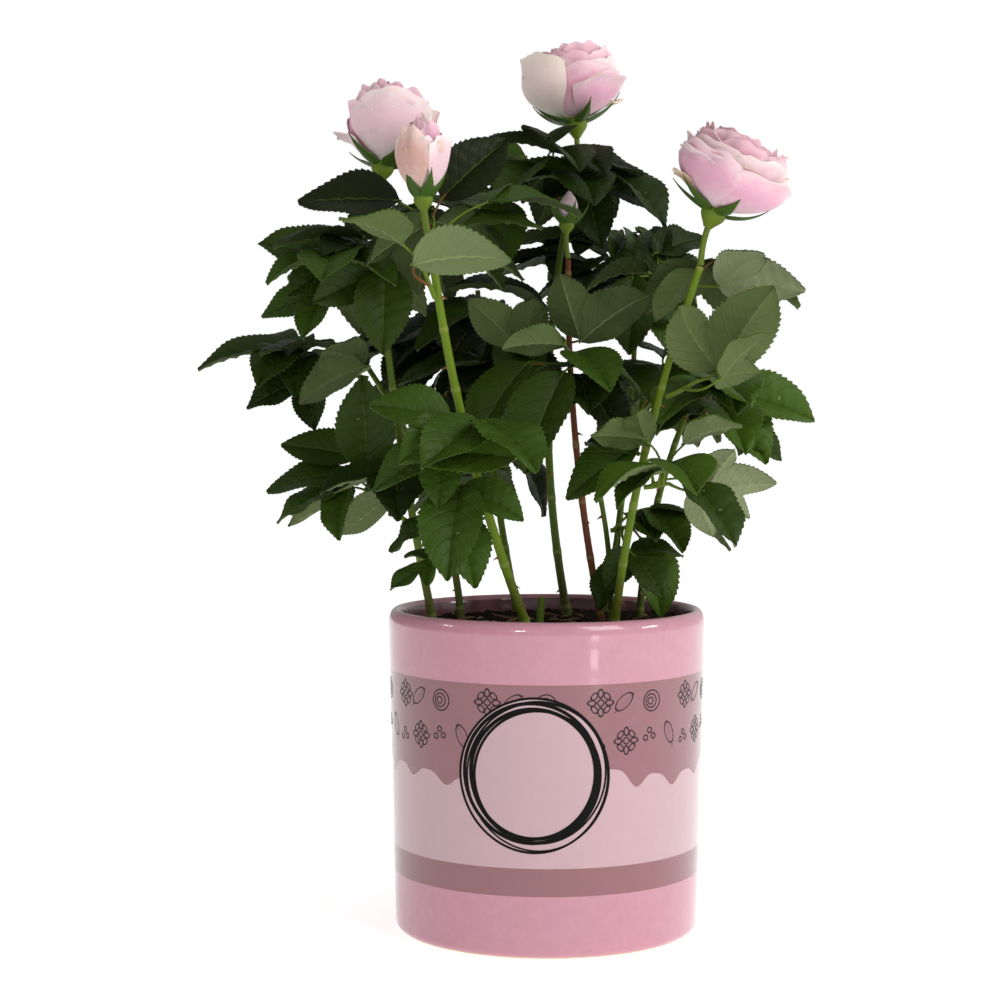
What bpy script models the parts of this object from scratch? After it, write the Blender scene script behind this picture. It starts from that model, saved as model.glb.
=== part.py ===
"""A rose bush in a glazed pot: pot, soil, canes, masses of leaves, blooms and buds.

Metres, +Z up. The origin is the centre of the pot's flat underside, X runs to the right and Y
away from the side that the open bloom leans over. A bearing is an angle from +X towards +Y.
"""
import math
import random
from collections import namedtuple

import bmesh
import bpy
from mathutils import Matrix, Vector
from mathutils.bvhtree import BVHTree

MM = 0.001
UP = Vector((0.0, 0.0, 1.0))
CLEARANCE = 0.3 * MM
FLAT_ANGLE = math.radians(4)
SHORT_EDGES = (0.3 * MM, 0.1 * MM, 0.02 * MM)

# Pot: a straight, slightly tapered cylinder with a rounded lip and foot.
POT_HEIGHT = 137 * MM
POT_RIM_RADIUS = 67.5 * MM
POT_FOOT_RADIUS = 64.6 * MM
POT_WALL = 5.4 * MM
POT_FLOOR = 6.5 * MM
FOOT_ROUNDING = 3.6 * MM
TURNED_STEPS = 36
SOIL_TOP = 130 * MM

# Leaves: the end leaflet's length is given for each leaf, the other sizes are shares of it.
LEAFLET_WIDTH = 0.67
LEAFLET_THICKNESS = 0.9 * MM
PAIR_PLACES = (0.78, 0.5)
PAIR_LENGTHS = (0.88, 0.72)
PAIR_SPREADS = (math.radians(60), math.radians(72))
STALK_RADIUS = 0.65 * MM
STALK_STEPS = 2
ROOT_SINK = 3 * MM
SHOOT_RADIUS = 1.1 * MM
FOOT_STEPS = 3
NODE_TURN = 144
SPARE = 0.6 * MM
RULE_SEED = 100
RULE_TRIES = 30

# Blooms: a head of overlapping petals on a hip with five sepals.
HIP_RADIUS = 4.6 * MM
HIP_LENGTH = 9 * MM
HEAD_SEAT = 0.7
HEAD_RIM = 0.75
HEAD_BELLY = 0.6
HEAD_DISH = 0.22
HEAD_TWIST = math.radians(20)
PETAL_STEP = 0.09
SEPALS = 5
SEPAL_LENGTH = 21 * MM
SEPAL_WIDTH = 0.28
SEPAL_SEAT = 0.75
SEPAL_INSET = 0.4
SEPAL_CURL = math.radians(-60)
SEPAL_FOLD = math.radians(12)
SEPAL_TURN = 0.3
SEPAL_BUD_RISE = 72
SEPAL_OPEN_RISE = 8

Limb = namedtuple("Limb", "foot tip bow foot_radius tip_radius colour")
Shoot = namedtuple("Shoot", "limb height bearing rise length centre radii fill seed leaves")
Leaf = namedtuple("Leaf", "at bearing rise reach aim dip blade turn pairs sides", defaults=(2, "LR"))
Bloom = namedtuple("Bloom", "limb neck lean bearing radius height openness petals")
Blade = namedtuple("Blade", "base forward normal length width curl fold")

GREEN = (0.095, 0.215, 0.014)
DULL_GREEN = (0.13, 0.18, 0.04)
RUSSET = (0.16, 0.06, 0.03)
LEAF_GREEN = (0.045, 0.09, 0.02)
PETAL_PINK = (0.78, 0.45, 0.55)

# Canes in millimetres: where each leaves the soil, its tip, and how far it bows out half-way up.
LIMBS = {
    "cane_front_left": Limb((-8, -27), (-47, -68, 286), (-5, -2), 2.1, 1.7, GREEN),
    "cane_front_right": Limb((28, -22), (61, -50, 280), (-5, -6), 1.9, 1.5, GREEN),
    "cane_middle": Limb((24, 4), (9, -5, 285), (-4, 2), 1.7, 1.2, RUSSET),
    "cane_middle_short": Limb((28, 9), (22, 8, 190), (2, 1), 1.4, 1.1, DULL_GREEN),
    "cane_back": Limb((10, 30), (13, 38, 322), (-10, 3), 2.0, 1.4, DULL_GREEN),
    "cane_left": Limb((-48, -5), (-72, -12, 300), (-3, 0), 1.9, 1.3, DULL_GREEN),
    "cane_back_left": Limb((-37, 25), (-82, 40, 245), (9, 0), 1.8, 1.2, DULL_GREEN),
    "cane_right": Limb((41, 20), (76, 30, 250), (-7, 0), 1.8, 1.2, DULL_GREEN),
    "cane_rear_left": Limb((-12, 46), (-30, 72, 275), (-3, 6), 1.8, 1.2, DULL_GREEN),
    "cane_rear_right": Limb((28, 44), (42, 70, 262), (2, 6), 1.8, 1.2, DULL_GREEN),
}

# Each bloom or bud: its cane, neck, lean, bearing of the lean, the head's radius and height in
# millimetres, how open it is, and how many outer petals show their edges.
BLOOMS = {
    "bloom_right": Bloom("cane_front_right", (64, -50, 296), 24, -10, 23, 31, 0.9, 5),
    "bloom_top": Bloom("cane_back", (14, 38, 341), 6, 160, 21.5, 32, 0.8, 5),
    "bloom_left": Bloom("cane_left", (-70, -10, 318), 12, 40, 18.5, 33, 0.7, 5),
    "bud_front": Bloom("cane_front_left", (-50, -71, 301), 8, 100, 10, 33, 0.3, 4),
    "bud_middle": Bloom("cane_middle", (8, -5, 296), 5, 0, 4.5, 13, 0.0, 3),
}

# Masses of leaves. Each grows on a side shoot: its cane, height, bearing, rise and length in
# millimetres and degrees, the centre and radii of the space it keeps to, how many leaves the rule
# adds and their seed. Its named leaves each have: place along the shoot, bearing, rise and reach
# of the stalk, aim and dip of the end leaflet, its length, how far its upper side turns to the
# front, pairs of side leaflets, and the sides that carry them.
SHOOTS = {
    "leaves_front": Shoot("cane_front_left", 262, -115, 45, 14, (-50, -96, 278), (58, 60, 44), 0, 11, (
        Leaf(1.0, -112, 22, 26, -124, 24, 40, -10, 0),
        Leaf(0.5, -100, 22, 21, -8, 15, 42, -45, 0),
    )),
    "leaves_bud": Shoot("cane_front_left", 280, 100, 55, 10, (-46, -46, 310), (64, 52, 50), 3, 12, (
        Leaf(1.0, 56, 57, 20, 0, 47, 38, 65, 0),
        Leaf(0.3, 10, 35, 18, -3, 14, 33, 18, 0),
        Leaf(0.8, 170, 45, 22, 178, 6, 42, 45, 0),
        Leaf(0.5, 60, 0, 24, 20, -12, 34, 30, 1, "R"),
    )),
    "leaves_upper_left": Shoot("cane_left", 264, 200, 45, 14, (-82, -22, 286), (58, 66, 58), 4, 13, (
        Leaf(1.0, 185, 40, 12, 182, 18, 35, 50),
        Leaf(0.8, 110, 60, 22, 195, 35, 38, 60, 1),
        Leaf(0.6, -95, 50, 26, 190, 8, 38, 5, 1, "L"),
        Leaf(0.4, -70, 15, 26, -92, -62, 38, 10, 1, "R"),
        Leaf(0.7, 175, -15, 18, 184, -8, 30, 45, 1),
        Leaf(0.9, -135, -25, 24, 197, 76, 42, 0, 0),
        Leaf(0.5, -120, 25, 18, 184, 20, 36, 50, 1),
        Leaf(0.9, 225, 61, 26, 184, 2, 38, 45, 0),
        Leaf(0.6, -120, -10, 26, 200, -30, 36, 40, 0),
    )),
    "leaves_left": Shoot("cane_back_left", 234, 190, 14, 20, (-106, 14, 240), (60, 60, 48), 2, 14, (
        Leaf(1.0, 190, 20, 20, 187, -4, 41, 18),
        Leaf(0.8, 215, -20, 16, 195, -18, 31, 40, 1),
        Leaf(0.3, -85, 5, 34, 197, -16, 36, -50, 1, "L"),
        Leaf(0.6, -105, -35, 22, 188, -12, 38, 40, 1),
        Leaf(0.2, -60, -10, 26, -70, -50, 36, 10, 1, "R"),
    )),
    "leaves_low_left": Shoot("cane_left", 172, 200, 35, 18, (-82, -14, 192), (52, 58, 48), 2, 15, (
        Leaf(1.0, 170, 10, 15, 187, -10, 34, 20, 1),
        Leaf(0.8, -130, 10, 16, 188, -9, 38, -38, 1, "L"),
        Leaf(0.5, 140, 5, 26, 180, -8, 30, -30, 1, "L"),
        Leaf(0.4, -100, 20, 16, 190, -30, 27, -55, 0),
        Leaf(0.9, 165, 30, 18, 186, 4, 36, 30, 0),
        Leaf(0.7, 150, 52, 26, 178, 14, 34, 45, 1, "L"),
        Leaf(0.8, 235, 62, 18, -95, 66, 40, 60, 0),
    )),
    "leaves_front_middle": Shoot("cane_front_left", 207, -80, 15, 10, (-44, -70, 204), (52, 46, 38), 1, 16, (
        Leaf(1.0, -35, -25, 18, 184, 8, 42, 48, 0),
        Leaf(0.7, -150, 35, 16, 186, 18, 34, 50, 1, "L"),
        Leaf(0.3, -170, -10, 16, 190, -25, 32, 40, 1, "L"),
    )),
    "leaves_middle": Shoot("cane_middle", 226, -95, 20, 20, (2, -42, 214), (48, 50, 46), 3, 17, (
        Leaf(1.0, -100, 0, 24, -128, -46, 48, 10, 0),
        Leaf(0.8, -135, 20, 26, -142, -44, 37, 15, 1, "R"),
        Leaf(0.5, 170, -30, 22, 187, -25, 30, -60, 0),
        Leaf(0.6, -60, 0, 14, -60, -35, 36, 15, 1, "R"),
        Leaf(0.9, -5, 25, 24, 200, -52, 33, -10, 0),
    )),
    "leaves_centre": Shoot("cane_middle", 246, -100, 10, 20, (4, -36, 268), (48, 46, 46), 3, 18, (
        Leaf(0.6, 170, 5, 22, 190, 45, 30, -70, 1, "L"),
        Leaf(0.9, -40, 5, 12, -5, 42, 37, -60, 1, "R"),
        Leaf(0.7, 175, 45, 14, 176, 76, 46, -20, 0),
        Leaf(1.0, -100, -10, 14, 184, 6, 27, -50, 0),
    )),
    "leaves_top": Shoot("cane_back", 305, -150, 55, 14, (2, 12, 318), (60, 54, 48), 5, 19, (
        Leaf(1.0, -45, 55, 26, 184, 8, 42, 15, 0),
        Leaf(0.9, 170, 45, 18, 188, 4, 38, 40, 1, "L"),
        Leaf(0.8, 175, 40, 16, 186, -38, 36, 35, 1, "L"),
        Leaf(0.6, -70, 10, 28, 182, 10, 42, 25, 0),
        Leaf(0.4, -20, 25, 18, -5, -10, 38, 45, 1, "R"),
        Leaf(0.9, 40, 45, 20, 4, 22, 34, 50, 1, "L"),
        Leaf(0.5, -150, -10, 26, -100, -50, 38, 5, 1, "R"),
    )),
    "leaves_upper_right": Shoot("cane_right", 238, 110, 70, 28, (46, 22, 290), (48, 50, 52), 4, 20, (
        Leaf(1.0, 160, 50, 26, 20, 30, 30, 50, 1),
        Leaf(0.8, -150, 20, 36, -100, -62, 36, 10, 1, "L"),
        Leaf(0.9, 170, 40, 20, 188, 10, 34, 45, 0),
    )),
    "leaves_bloom_right": Shoot("cane_front_right", 262, 60, 45, 14, (66, -34, 268), (50, 46, 44), 1, 21, (
        Leaf(1.0, 150, 50, 10, 186, -46, 46, -15, 0),
        Leaf(0.7, 0, 0, 12, 2, 6, 36, -55, 1, "R"),
    )),
    "leaves_right": Shoot("cane_front_right", 226, -25, 22, 14, (74, -66, 248), (46, 44, 48), 0, 22, (
        Leaf(1.0, -10, 30, 12, -12, 62, 44, -70, 1, "R"),
        Leaf(0.3, -115, 60, 22, -8, 25, 37, -60, 1, "R"),
        Leaf(0.6, -50, 15, 24, 2, 58, 26, -20, 1, "L"),
    )),
    "leaves_far_right": Shoot("cane_right", 212, -20, 32, 14, (78, 6, 230), (44, 54, 44), 3, 23, (
        Leaf(1.0, -60, 20, 14, -8, -4, 42, 50, 1),
        Leaf(0.6, -60, -15, 20, -12, -18, 30, 40, 1, "L"),
    )),
    "leaves_low_right": Shoot("cane_front_right", 190, -10, 5, 10, (54, -48, 196), (56, 52, 46), 2, 24, (
        Leaf(1.0, -8, -8, 20, 0, 18, 28, -55),
        Leaf(0.6, -120, 50, 26, 184, 10, 24, -60, 1, "L"),
        Leaf(0.4, 150, 55, 18, 180, -24, 38, 42, 1, "R"),
        Leaf(0.8, -60, 45, 26, -10, 32, 26, -30, 0),
    )),
    "leaves_foot_right": Shoot("cane_middle_short", 169, 0, 10, 8, (42, -6, 158), (44, 44, 34), 1, 25, (
        Leaf(1.0, -45, -42, 11, -45, -62, 36, 20, 0),
        Leaf(0.7, -80, -25, 26, -50, -30, 26, 30, 1),
        Leaf(0.4, -100, -40, 24, -125, -45, 22, 20, 0),
        Leaf(0.8, -35, -35, 24, -20, -40, 22, 10, 1, "L"),
    )),
    "leaves_foot_left": Shoot("cane_front_left", 180, 195, 10, 10, (-46, -52, 168), (42, 44, 32), 1, 26, (
        Leaf(1.0, -100, -20, 10, -60, -44, 36, 25, 0),
        Leaf(0.6, 200, -50, 32, 195, -25, 17, 30, 1),
        Leaf(0.8, 215, -15, 14, 186, -20, 26, 20, 0),
    )),
    "leaves_behind_left": Shoot("cane_rear_left", 232, 160, 35, 22, (-62, 62, 250), (58, 54, 56), 7, 27, ()),
    "leaves_behind_bud": Shoot("cane_left", 286, 70, 35, 20, (-54, 14, 296), (48, 46, 38), 6, 33, ()),
    "leaves_behind_low": Shoot("cane_rear_left", 178, 120, 25, 18, (-38, 70, 194), (60, 50, 42), 5, 28, ()),
    "leaves_behind_right": Shoot("cane_rear_right", 215, 40, 35, 22, (56, 70, 228), (54, 52, 54), 7, 29, ()),
    "leaves_behind_top": Shoot("cane_rear_right", 254, 130, 65, 30, (22, 58, 300), (58, 50, 46), 8, 30, ()),
    "leaves_inner": Shoot("cane_back", 235, -150, 35, 18, (-30, 16, 256), (54, 50, 54), 6, 31, (
        Leaf(1.0, 165, 40, 26, 178, -16, 43, 25, 2),
        Leaf(0.8, -125, 45, 28, -155, -12, 44, 15, 2),
        Leaf(0.9, -60, 50, 26, 185, 30, 42, 10, 1, "R"),
    )),
    "leaves_inner_low": Shoot("cane_left", 215, 20, 20, 18, (-30, 4, 206), (44, 44, 36), 5, 32, ()),
}


# ---- directions, routes and small helpers ----

def heading(bearing, rise):
    """The unit vector at a bearing and a rise, both in degrees."""
    turn, lift = math.radians(bearing), math.radians(rise)
    return Vector((math.cos(lift) * math.cos(turn), math.cos(lift) * math.sin(turn), math.sin(lift)))


def limb_point(limb, height):
    """A cane's centre at a height in millimetres."""
    share = (height * MM - SOIL_TOP) / (limb.tip[2] * MM - SOIL_TOP)
    swell = 4 * share * (1 - share)
    flat = [(a + (b - a) * share + c * swell) * MM for a, b, c in zip(limb.foot, limb.tip, limb.bow)]
    return Vector((flat[0], flat[1], height * MM))


def limb_radius(limb, height):
    share = (height * MM - SOIL_TOP) / (limb.tip[2] * MM - SOIL_TOP)
    return (limb.foot_radius + (limb.tip_radius - limb.foot_radius) * share) * MM


def arc_route(start, chord, end_way, steps):
    """Points of a bent stalk from start to start + chord, which arrives along end_way."""
    first = (2 * chord.normalized() - end_way).normalized() * chord.length
    last = end_way * chord.length
    points = []
    for step in range(steps + 1):
        t = step / steps
        points.append(start + chord * (3 * t * t - 2 * t ** 3) + first * (t ** 3 - 2 * t * t + t)
                      + last * (t ** 3 - t * t))
    return points


def along_route(points, share):
    place = share * (len(points) - 1)
    index = min(int(place), len(points) - 2)
    return points[index].lerp(points[index + 1], place - index)


def principled(name, colour, roughness, metallic=0.0):
    material = bpy.data.materials.new(name)
    material.use_nodes = True
    shader = material.node_tree.nodes["Principled BSDF"]
    shader.inputs["Base Color"].default_value = (*colour, 1.0)
    shader.inputs["Roughness"].default_value = roughness
    shader.inputs["Metallic"].default_value = metallic
    return material


def add_object(name, mesh, collection, material=None):
    obj = bpy.data.objects.new(name, mesh)
    collection.objects.link(obj)
    if material:
        mesh.materials.append(material)
    return obj


def evaluated_mesh(obj):
    depsgraph = bpy.context.evaluated_depsgraph_get()
    return bpy.data.meshes.new_from_object(obj.evaluated_get(depsgraph))


def closed_mesh(name, bm):
    """A closed solid's mesh with its faces turned outwards. The bmesh is freed."""
    if bm.calc_volume(signed=True) < 0:
        bmesh.ops.reverse_faces(bm, faces=bm.faces)
    mesh = bpy.data.meshes.new(name)
    bm.to_mesh(mesh)
    bm.free()
    return mesh


# ---- pot and soil ----

def pot_outer_radius(height):
    return POT_FOOT_RADIUS + (POT_RIM_RADIUS - POT_FOOT_RADIUS) * height / POT_HEIGHT


def turned(name, profile, collection, material):
    """A solid turned about Z from a profile of (radius, height), out along the top and down."""
    mesh = bpy.data.meshes.new(name)
    mesh.from_pydata([(r, 0, z) for r, z in profile], [(i, i + 1) for i in range(len(profile) - 1)], [])
    obj = add_object(name, mesh, collection, material)
    screw = obj.modifiers.new("Turn", "SCREW")
    screw.steps = screw.render_steps = TURNED_STEPS
    screw.use_merge_vertices = True
    screw.merge_threshold = 0.0001
    screw.use_smooth_shade = True
    return obj


def pot_profile():
    """From the middle of the floor inside, up the inner wall, over the lip and down to the foot."""
    lip = POT_WALL / 2
    lip_height = POT_HEIGHT - lip
    lip_centre = pot_outer_radius(lip_height) - lip
    inside = [(0.0, POT_FLOOR), (pot_outer_radius(POT_FLOOR) - POT_WALL, POT_FLOOR)]
    over = [(lip_centre - lip * math.cos(a), lip_height + lip * math.sin(a))
            for a in (math.pi * step / 6 for step in range(7))]
    foot = [(POT_FOOT_RADIUS - FOOT_ROUNDING * (1 - math.cos(a)), FOOT_ROUNDING * (1 - math.sin(a)))
            for a in (math.pi / 2 * step / 3 for step in range(4))]
    return inside + over + foot + [(0.0, 0.0)]


def make_pot(collection):
    return turned("pot", pot_profile(), collection, principled("glazed ceramic", (0.66, 0.34, 0.40), 0.12))


def make_soil(collection):
    top = pot_outer_radius(SOIL_TOP) - POT_WALL - CLEARANCE
    base = pot_outer_radius(POT_FLOOR) - POT_WALL - 2 * CLEARANCE
    profile = [(0.0, SOIL_TOP), (top, SOIL_TOP), (base, POT_FLOOR + CLEARANCE), (0.0, POT_FLOOR + CLEARANCE)]
    return turned("soil", profile, collection, principled("potting soil", (0.03, 0.022, 0.017), 0.95))


# ---- tubes: canes, shoots and stalks ----

def tube(name, points, radii, resolution, collection, material=None):
    """A tapering tube with filled ends through the points."""
    curve = bpy.data.curves.new(name, "CURVE")
    curve.dimensions = "3D"
    curve.bevel_depth = 1.0
    curve.bevel_resolution = resolution
    curve.use_fill_caps = True
    curve.resolution_u = 1
    spline = curve.splines.new("POLY")
    spline.points.add(len(points) - 1)
    for knot, point, radius in zip(spline.points, points, radii):
        knot.co = (*point, 1.0)
        knot.radius = radius
    return add_object(name, curve, collection, material)


def three_sided_section(collection):
    """The guide that gives twigs and stalks their three-sided section."""
    curve = bpy.data.curves.new("three-sided section", "CURVE")
    spline = curve.splines.new("POLY")
    spline.points.add(2)
    for index, knot in enumerate(spline.points):
        turn = math.tau * index / 3
        knot.co = (math.cos(turn), math.sin(turn), 0.0, 1.0)
    spline.use_cyclic_u = True
    return add_object("three-sided section", curve, collection)


def solid_tube(name, points, radii, collection):
    """A thin tube as a mesh with its caps welded on, ready to be joined to others."""
    curve = tube(name, points, radii, 0, collection)
    guide = three_sided_section(collection)
    curve.data.bevel_mode = "OBJECT"
    curve.data.bevel_object = guide
    mesh = evaluated_mesh(curve)
    bpy.data.objects.remove(curve)
    bpy.data.objects.remove(guide)
    bm = bmesh.new()
    bm.from_mesh(mesh)
    bmesh.ops.remove_doubles(bm, verts=bm.verts, dist=0.01 * MM)
    bmesh.ops.recalc_face_normals(bm, faces=bm.faces)
    return add_object(name, closed_mesh(name, bm), collection)


def limb_route(limb):
    """A cane's points: a short upright foot with a level cut, then its bowed length."""
    cut = SOIL_TOP / MM + CLEARANCE / MM
    foot_height, tip_height = cut + 3, limb.tip[2]
    steps = max(3, round((tip_height - foot_height) / 26))
    heights = [foot_height + (tip_height - foot_height) * step / steps for step in range(steps + 1)]
    points = [limb_point(limb, height) for height in heights]
    foot = points[0].copy()
    foot.z = cut * MM
    return [foot] + points, [limb_radius(limb, cut)] + [limb_radius(limb, h) for h in heights]


def make_limb(name, collection):
    limb = LIMBS[name]
    points, radii = limb_route(limb)
    return tube(name, points, radii, 1, collection, principled("rose bark " + name, limb.colour, 0.5))


# ---- leaves ----

def leaf_outline(along):
    """Half width of a leaflet as a share of its widest: round at the base, drawn to a tip."""
    return math.sin(math.pi * min(max(along, 0.0), 1.0) ** 0.8) ** 0.75


def blade_point(blade, along, across, lift):
    """A point of a leaflet that curls down along its length and folds up along its midrib."""
    side = blade.forward.cross(blade.normal)
    angle = blade.curl * along
    radius = blade.length / blade.curl
    normal = blade.normal * math.cos(angle) + blade.forward * math.sin(angle)
    spine = (blade.base + blade.forward * (radius * math.sin(angle))
             - blade.normal * (radius * (1 - math.cos(angle))))
    half = 0.5 * blade.width * leaf_outline(along) * across
    return spine + side * (half * math.cos(blade.fold)) + normal * (abs(half) * math.sin(blade.fold) + lift)


def leaf_mesh(blade, thickness):
    """A leaflet as a closed thin solid, shaped from a coarse sphere with its poles at base and tip."""
    bm = bmesh.new()
    bmesh.ops.create_uvsphere(bm, u_segments=4, v_segments=3, radius=1.0)
    for vert in bm.verts:
        ring = max(math.hypot(vert.co.x, vert.co.y), 1e-6)
        along = (1 - vert.co.z) / 2
        pole = ring < 1e-3
        across = 0.0 if pole else round(vert.co.x / ring)
        lift = 0.0 if pole else round(vert.co.y / ring) * thickness / 2
        vert.co = blade_point(blade, along, across, lift)
    return closed_mesh("leaflet", bm)


def facing(forward, turn):
    """The upper side's direction: upright, turned to the front by an angle, square to forward."""
    wish = Vector((0, -math.sin(math.radians(turn)), math.cos(math.radians(turn))))
    normal = wish - forward * wish.dot(forward)
    if normal.length < 0.2:
        normal = UP - forward * UP.dot(forward)
    return normal.normalized()


def grow_leaf(leaf, node, rng):
    """One compound leaf: the route of its stalk, and its leaflets from the end one down."""
    aim = heading(leaf.aim, leaf.dip)
    route = arc_route(node, heading(leaf.bearing, leaf.rise) * leaf.reach * MM, aim, STALK_STEPS)
    normal = facing(aim, leaf.turn)
    blades = []
    length = leaf.blade * MM
    curl = math.radians(rng.uniform(18, 40))
    blades.append(Blade(route[-1] - aim * ROOT_SINK, aim, normal, length, length * LEAFLET_WIDTH, curl,
                        math.radians(rng.uniform(10, 24))))
    for place, share, spread in list(zip(PAIR_PLACES, PAIR_LENGTHS, PAIR_SPREADS))[:leaf.pairs]:
        for letter, hand in (("L", 1), ("R", -1)):
            yaw, pitch, roll = rng.uniform(-8, 8), rng.uniform(-14, 8), rng.uniform(-16, 16)
            size, curl = rng.uniform(0.92, 1.06), math.radians(rng.uniform(15, 45))
            fold = math.radians(rng.uniform(8, 24))
            if letter not in leaf.sides:
                continue
            forward = Matrix.Rotation(hand * (spread + math.radians(yaw)), 3, normal) @ aim
            across = forward.cross(normal)
            forward = Matrix.Rotation(math.radians(pitch), 3, across) @ forward
            up = Matrix.Rotation(math.radians(pitch), 3, across) @ normal
            up = Matrix.Rotation(math.radians(roll), 3, forward) @ up
            side_length = length * share * size
            base = along_route(route, place)
            blades.append(Blade(base, forward, up, side_length, side_length * LEAFLET_WIDTH, curl, fold))
    return route, blades


def rule_leaf(shoot, index, rng):
    """A leaf that the rule adds: two fifths of a turn on from the last, drooping as it goes out."""
    bearing = shoot.bearing + index * NODE_TURN + rng.uniform(-25, 25)
    dip = rng.uniform(-45, 12)
    return Leaf((index % 5 + 1) / 5, bearing, rng.uniform(5, 45), rng.uniform(16, 32),
                bearing + rng.uniform(-20, 20), dip, rng.uniform(38, 48), rng.uniform(-25, 25), 2, "LR")


# ---- keeping clear: a leaf is skipped where it would leave its space or touch something ----

Placed = namedtuple("Placed", "owner centre reach tree")


def placed(owner, mesh):
    """A mesh as something that later leaves keep clear of."""
    points = [vert.co.copy() for vert in mesh.vertices]
    centre = sum(points, Vector()) / len(points)
    reach = max((point - centre).length for point in points)
    faces = [tuple(polygon.vertices) for polygon in mesh.polygons]
    return Placed(owner, centre, reach, BVHTree.FromPolygons(points, faces))


def touches(item, others):
    """Whether an item crosses any of the others."""
    return any((item.centre - other.centre).length < item.reach + other.reach
               and item.tree.overlap(other.tree) for other in others)


def grown(blade, extra):
    """A leaflet made a little larger all round, to test the room it needs."""
    return blade._replace(length=blade.length + extra, width=blade.width + 2 * extra)


def in_space(point, shoot):
    """Whether a point is inside the ellipsoid that a mass keeps to."""
    parts = [(p / MM - c) / r for p, c, r in zip(point, shoot.centre, shoot.radii)]
    return sum(part * part for part in parts) <= 1.0


def fitted(name, shoot, route, blades, taken, scratch):
    """The leaflets of one leaf that have room, or None where its stalk or end leaflet has none."""
    others = [item for item in taken if item.owner not in (name, name + " shoot")]
    own = [item for item in taken if item.owner == name]
    stalk = solid_tube("stalk room", route, [STALK_RADIUS + SPARE / 2] * len(route), scratch)
    room = placed(name, stalk.data)
    bpy.data.objects.remove(stalk)
    if touches(room, others + own) or not in_space(route[-1], shoot):
        return None
    kept = []
    for blade in blades:
        room = placed(name, leaf_mesh(grown(blade, SPARE), LEAFLET_THICKNESS + 2 * SPARE))
        tight = placed(name, leaf_mesh(blade, LEAFLET_THICKNESS))
        tip = blade_point(blade, 1.0, 0.0, 0.0)
        if in_space(tip, shoot) and not touches(room, others) and not touches(tight, own):
            kept.append(blade)
        elif blade is blades[0]:
            return None
    return kept


# ---- joining ----

def shells_of(bm):
    """The faces of each separate shell of a mesh."""
    left = set(bm.faces)
    shells = []
    while left:
        shell, front = set(), [left.pop()]
        while front:
            face = front.pop()
            shell.add(face)
            near = {other for edge in face.edges for other in edge.link_faces} & left
            left -= near
            front.extend(near)
        shells.append(shell)
    return shells


def signed_volume(shell):
    return sum(f.verts[0].co.dot(f.verts[1].co.cross(f.verts[2].co)) for f in shell)


def is_closed_body(bm):
    return all(len(edge.link_faces) == 2 for edge in bm.edges) and len(shells_of(bm)) == 1


def one_body(mesh):
    """Drops loose scraps, fills sealed hollows and clears the small faces round the joints."""
    bm = bmesh.new()
    bm.from_mesh(mesh)
    bmesh.ops.triangulate(bm, faces=bm.faces)
    largest = max(shells_of(bm), key=signed_volume)
    bmesh.ops.delete(bm, geom=[face for face in bm.faces if face not in largest], context="FACES")
    for short_edge in SHORT_EDGES:
        tidy = bm.copy()
        bmesh.ops.dissolve_limit(tidy, angle_limit=FLAT_ANGLE, verts=tidy.verts, edges=tidy.edges)
        bmesh.ops.triangulate(tidy, faces=tidy.faces)
        bmesh.ops.dissolve_degenerate(tidy, dist=short_edge, edges=tidy.edges)
        bmesh.ops.triangulate(tidy, faces=tidy.faces)
        if is_closed_body(tidy):
            tidy.to_mesh(mesh)
            break
        tidy.free()
    else:
        bm.to_mesh(mesh)
    bm.free()
    return mesh


def join(name, base, collection, joining, material, solver="MANIFOLD"):
    """One Boolean union of the base with all of the joining collection, applied as a named object."""
    union = base.modifiers.new("Join", "BOOLEAN")
    union.operation = "UNION"
    union.operand_type = "COLLECTION"
    union.collection = joining
    union.solver = solver
    mesh = one_body(evaluated_mesh(base))
    mesh.name = name
    for obj in list(joining.objects) + [base]:
        bpy.data.objects.remove(obj)
    mesh.materials.clear()
    return add_object(name, mesh, collection, material)


# ---- masses of leaves ----

def shoot_route(shoot):
    """A side shoot's points, from 0.3 mm clear of its cane's bark, bending up a little."""
    limb = LIMBS[shoot.limb]
    way = heading(shoot.bearing, shoot.rise)
    root = limb_point(limb, shoot.height)
    lean = (limb_point(limb, shoot.height + 1) - root).normalized()
    along = abs(way.dot(lean))
    away = math.sqrt(1 - along * along)
    start = root + way * ((limb_radius(limb, shoot.height) + 2 * CLEARANCE + SHOOT_RADIUS * along) / away)
    length = shoot.length * MM
    return [start, start + way * (0.5 * length), start + way * length + UP * (0.08 * length)]


def make_shoot(name, bark, joining):
    """A side shoot as a solid, with its foot drawn back along it to 0.3 mm off the bark."""
    points = shoot_route(SHOOTS[name])
    radii = [SHOOT_RADIUS, SHOOT_RADIUS * 0.9, SHOOT_RADIUS * 0.75]
    shoot = solid_tube(name + " shoot", points, radii, joining)
    way = (points[1] - points[0]).normalized()
    corners = [vert for vert in shoot.data.vertices if (vert.co - points[0]).length < 1.1 * SHOOT_RADIUS]
    for _ in range(FOOT_STEPS):
        spots = [a.co.lerp(b.co, 0.5) for a in corners for b in corners]
        slack = min(bark.find_nearest(spot)[3] for spot in spots) - CLEARANCE
        for corner in corners:
            corner.co -= way * slack
    return shoot


def make_leaf(route, blades, joining):
    """A stalk that runs a little way under its end leaflet, and its leaflets, as closed solids."""
    radii = [STALK_RADIUS * 1.2] + [STALK_RADIUS] * (len(route) - 1)
    solid_tube("stalk", route, radii, joining)
    for blade in blades:
        add_object("leaflet", leaf_mesh(blade, LEAFLET_THICKNESS), joining)


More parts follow.
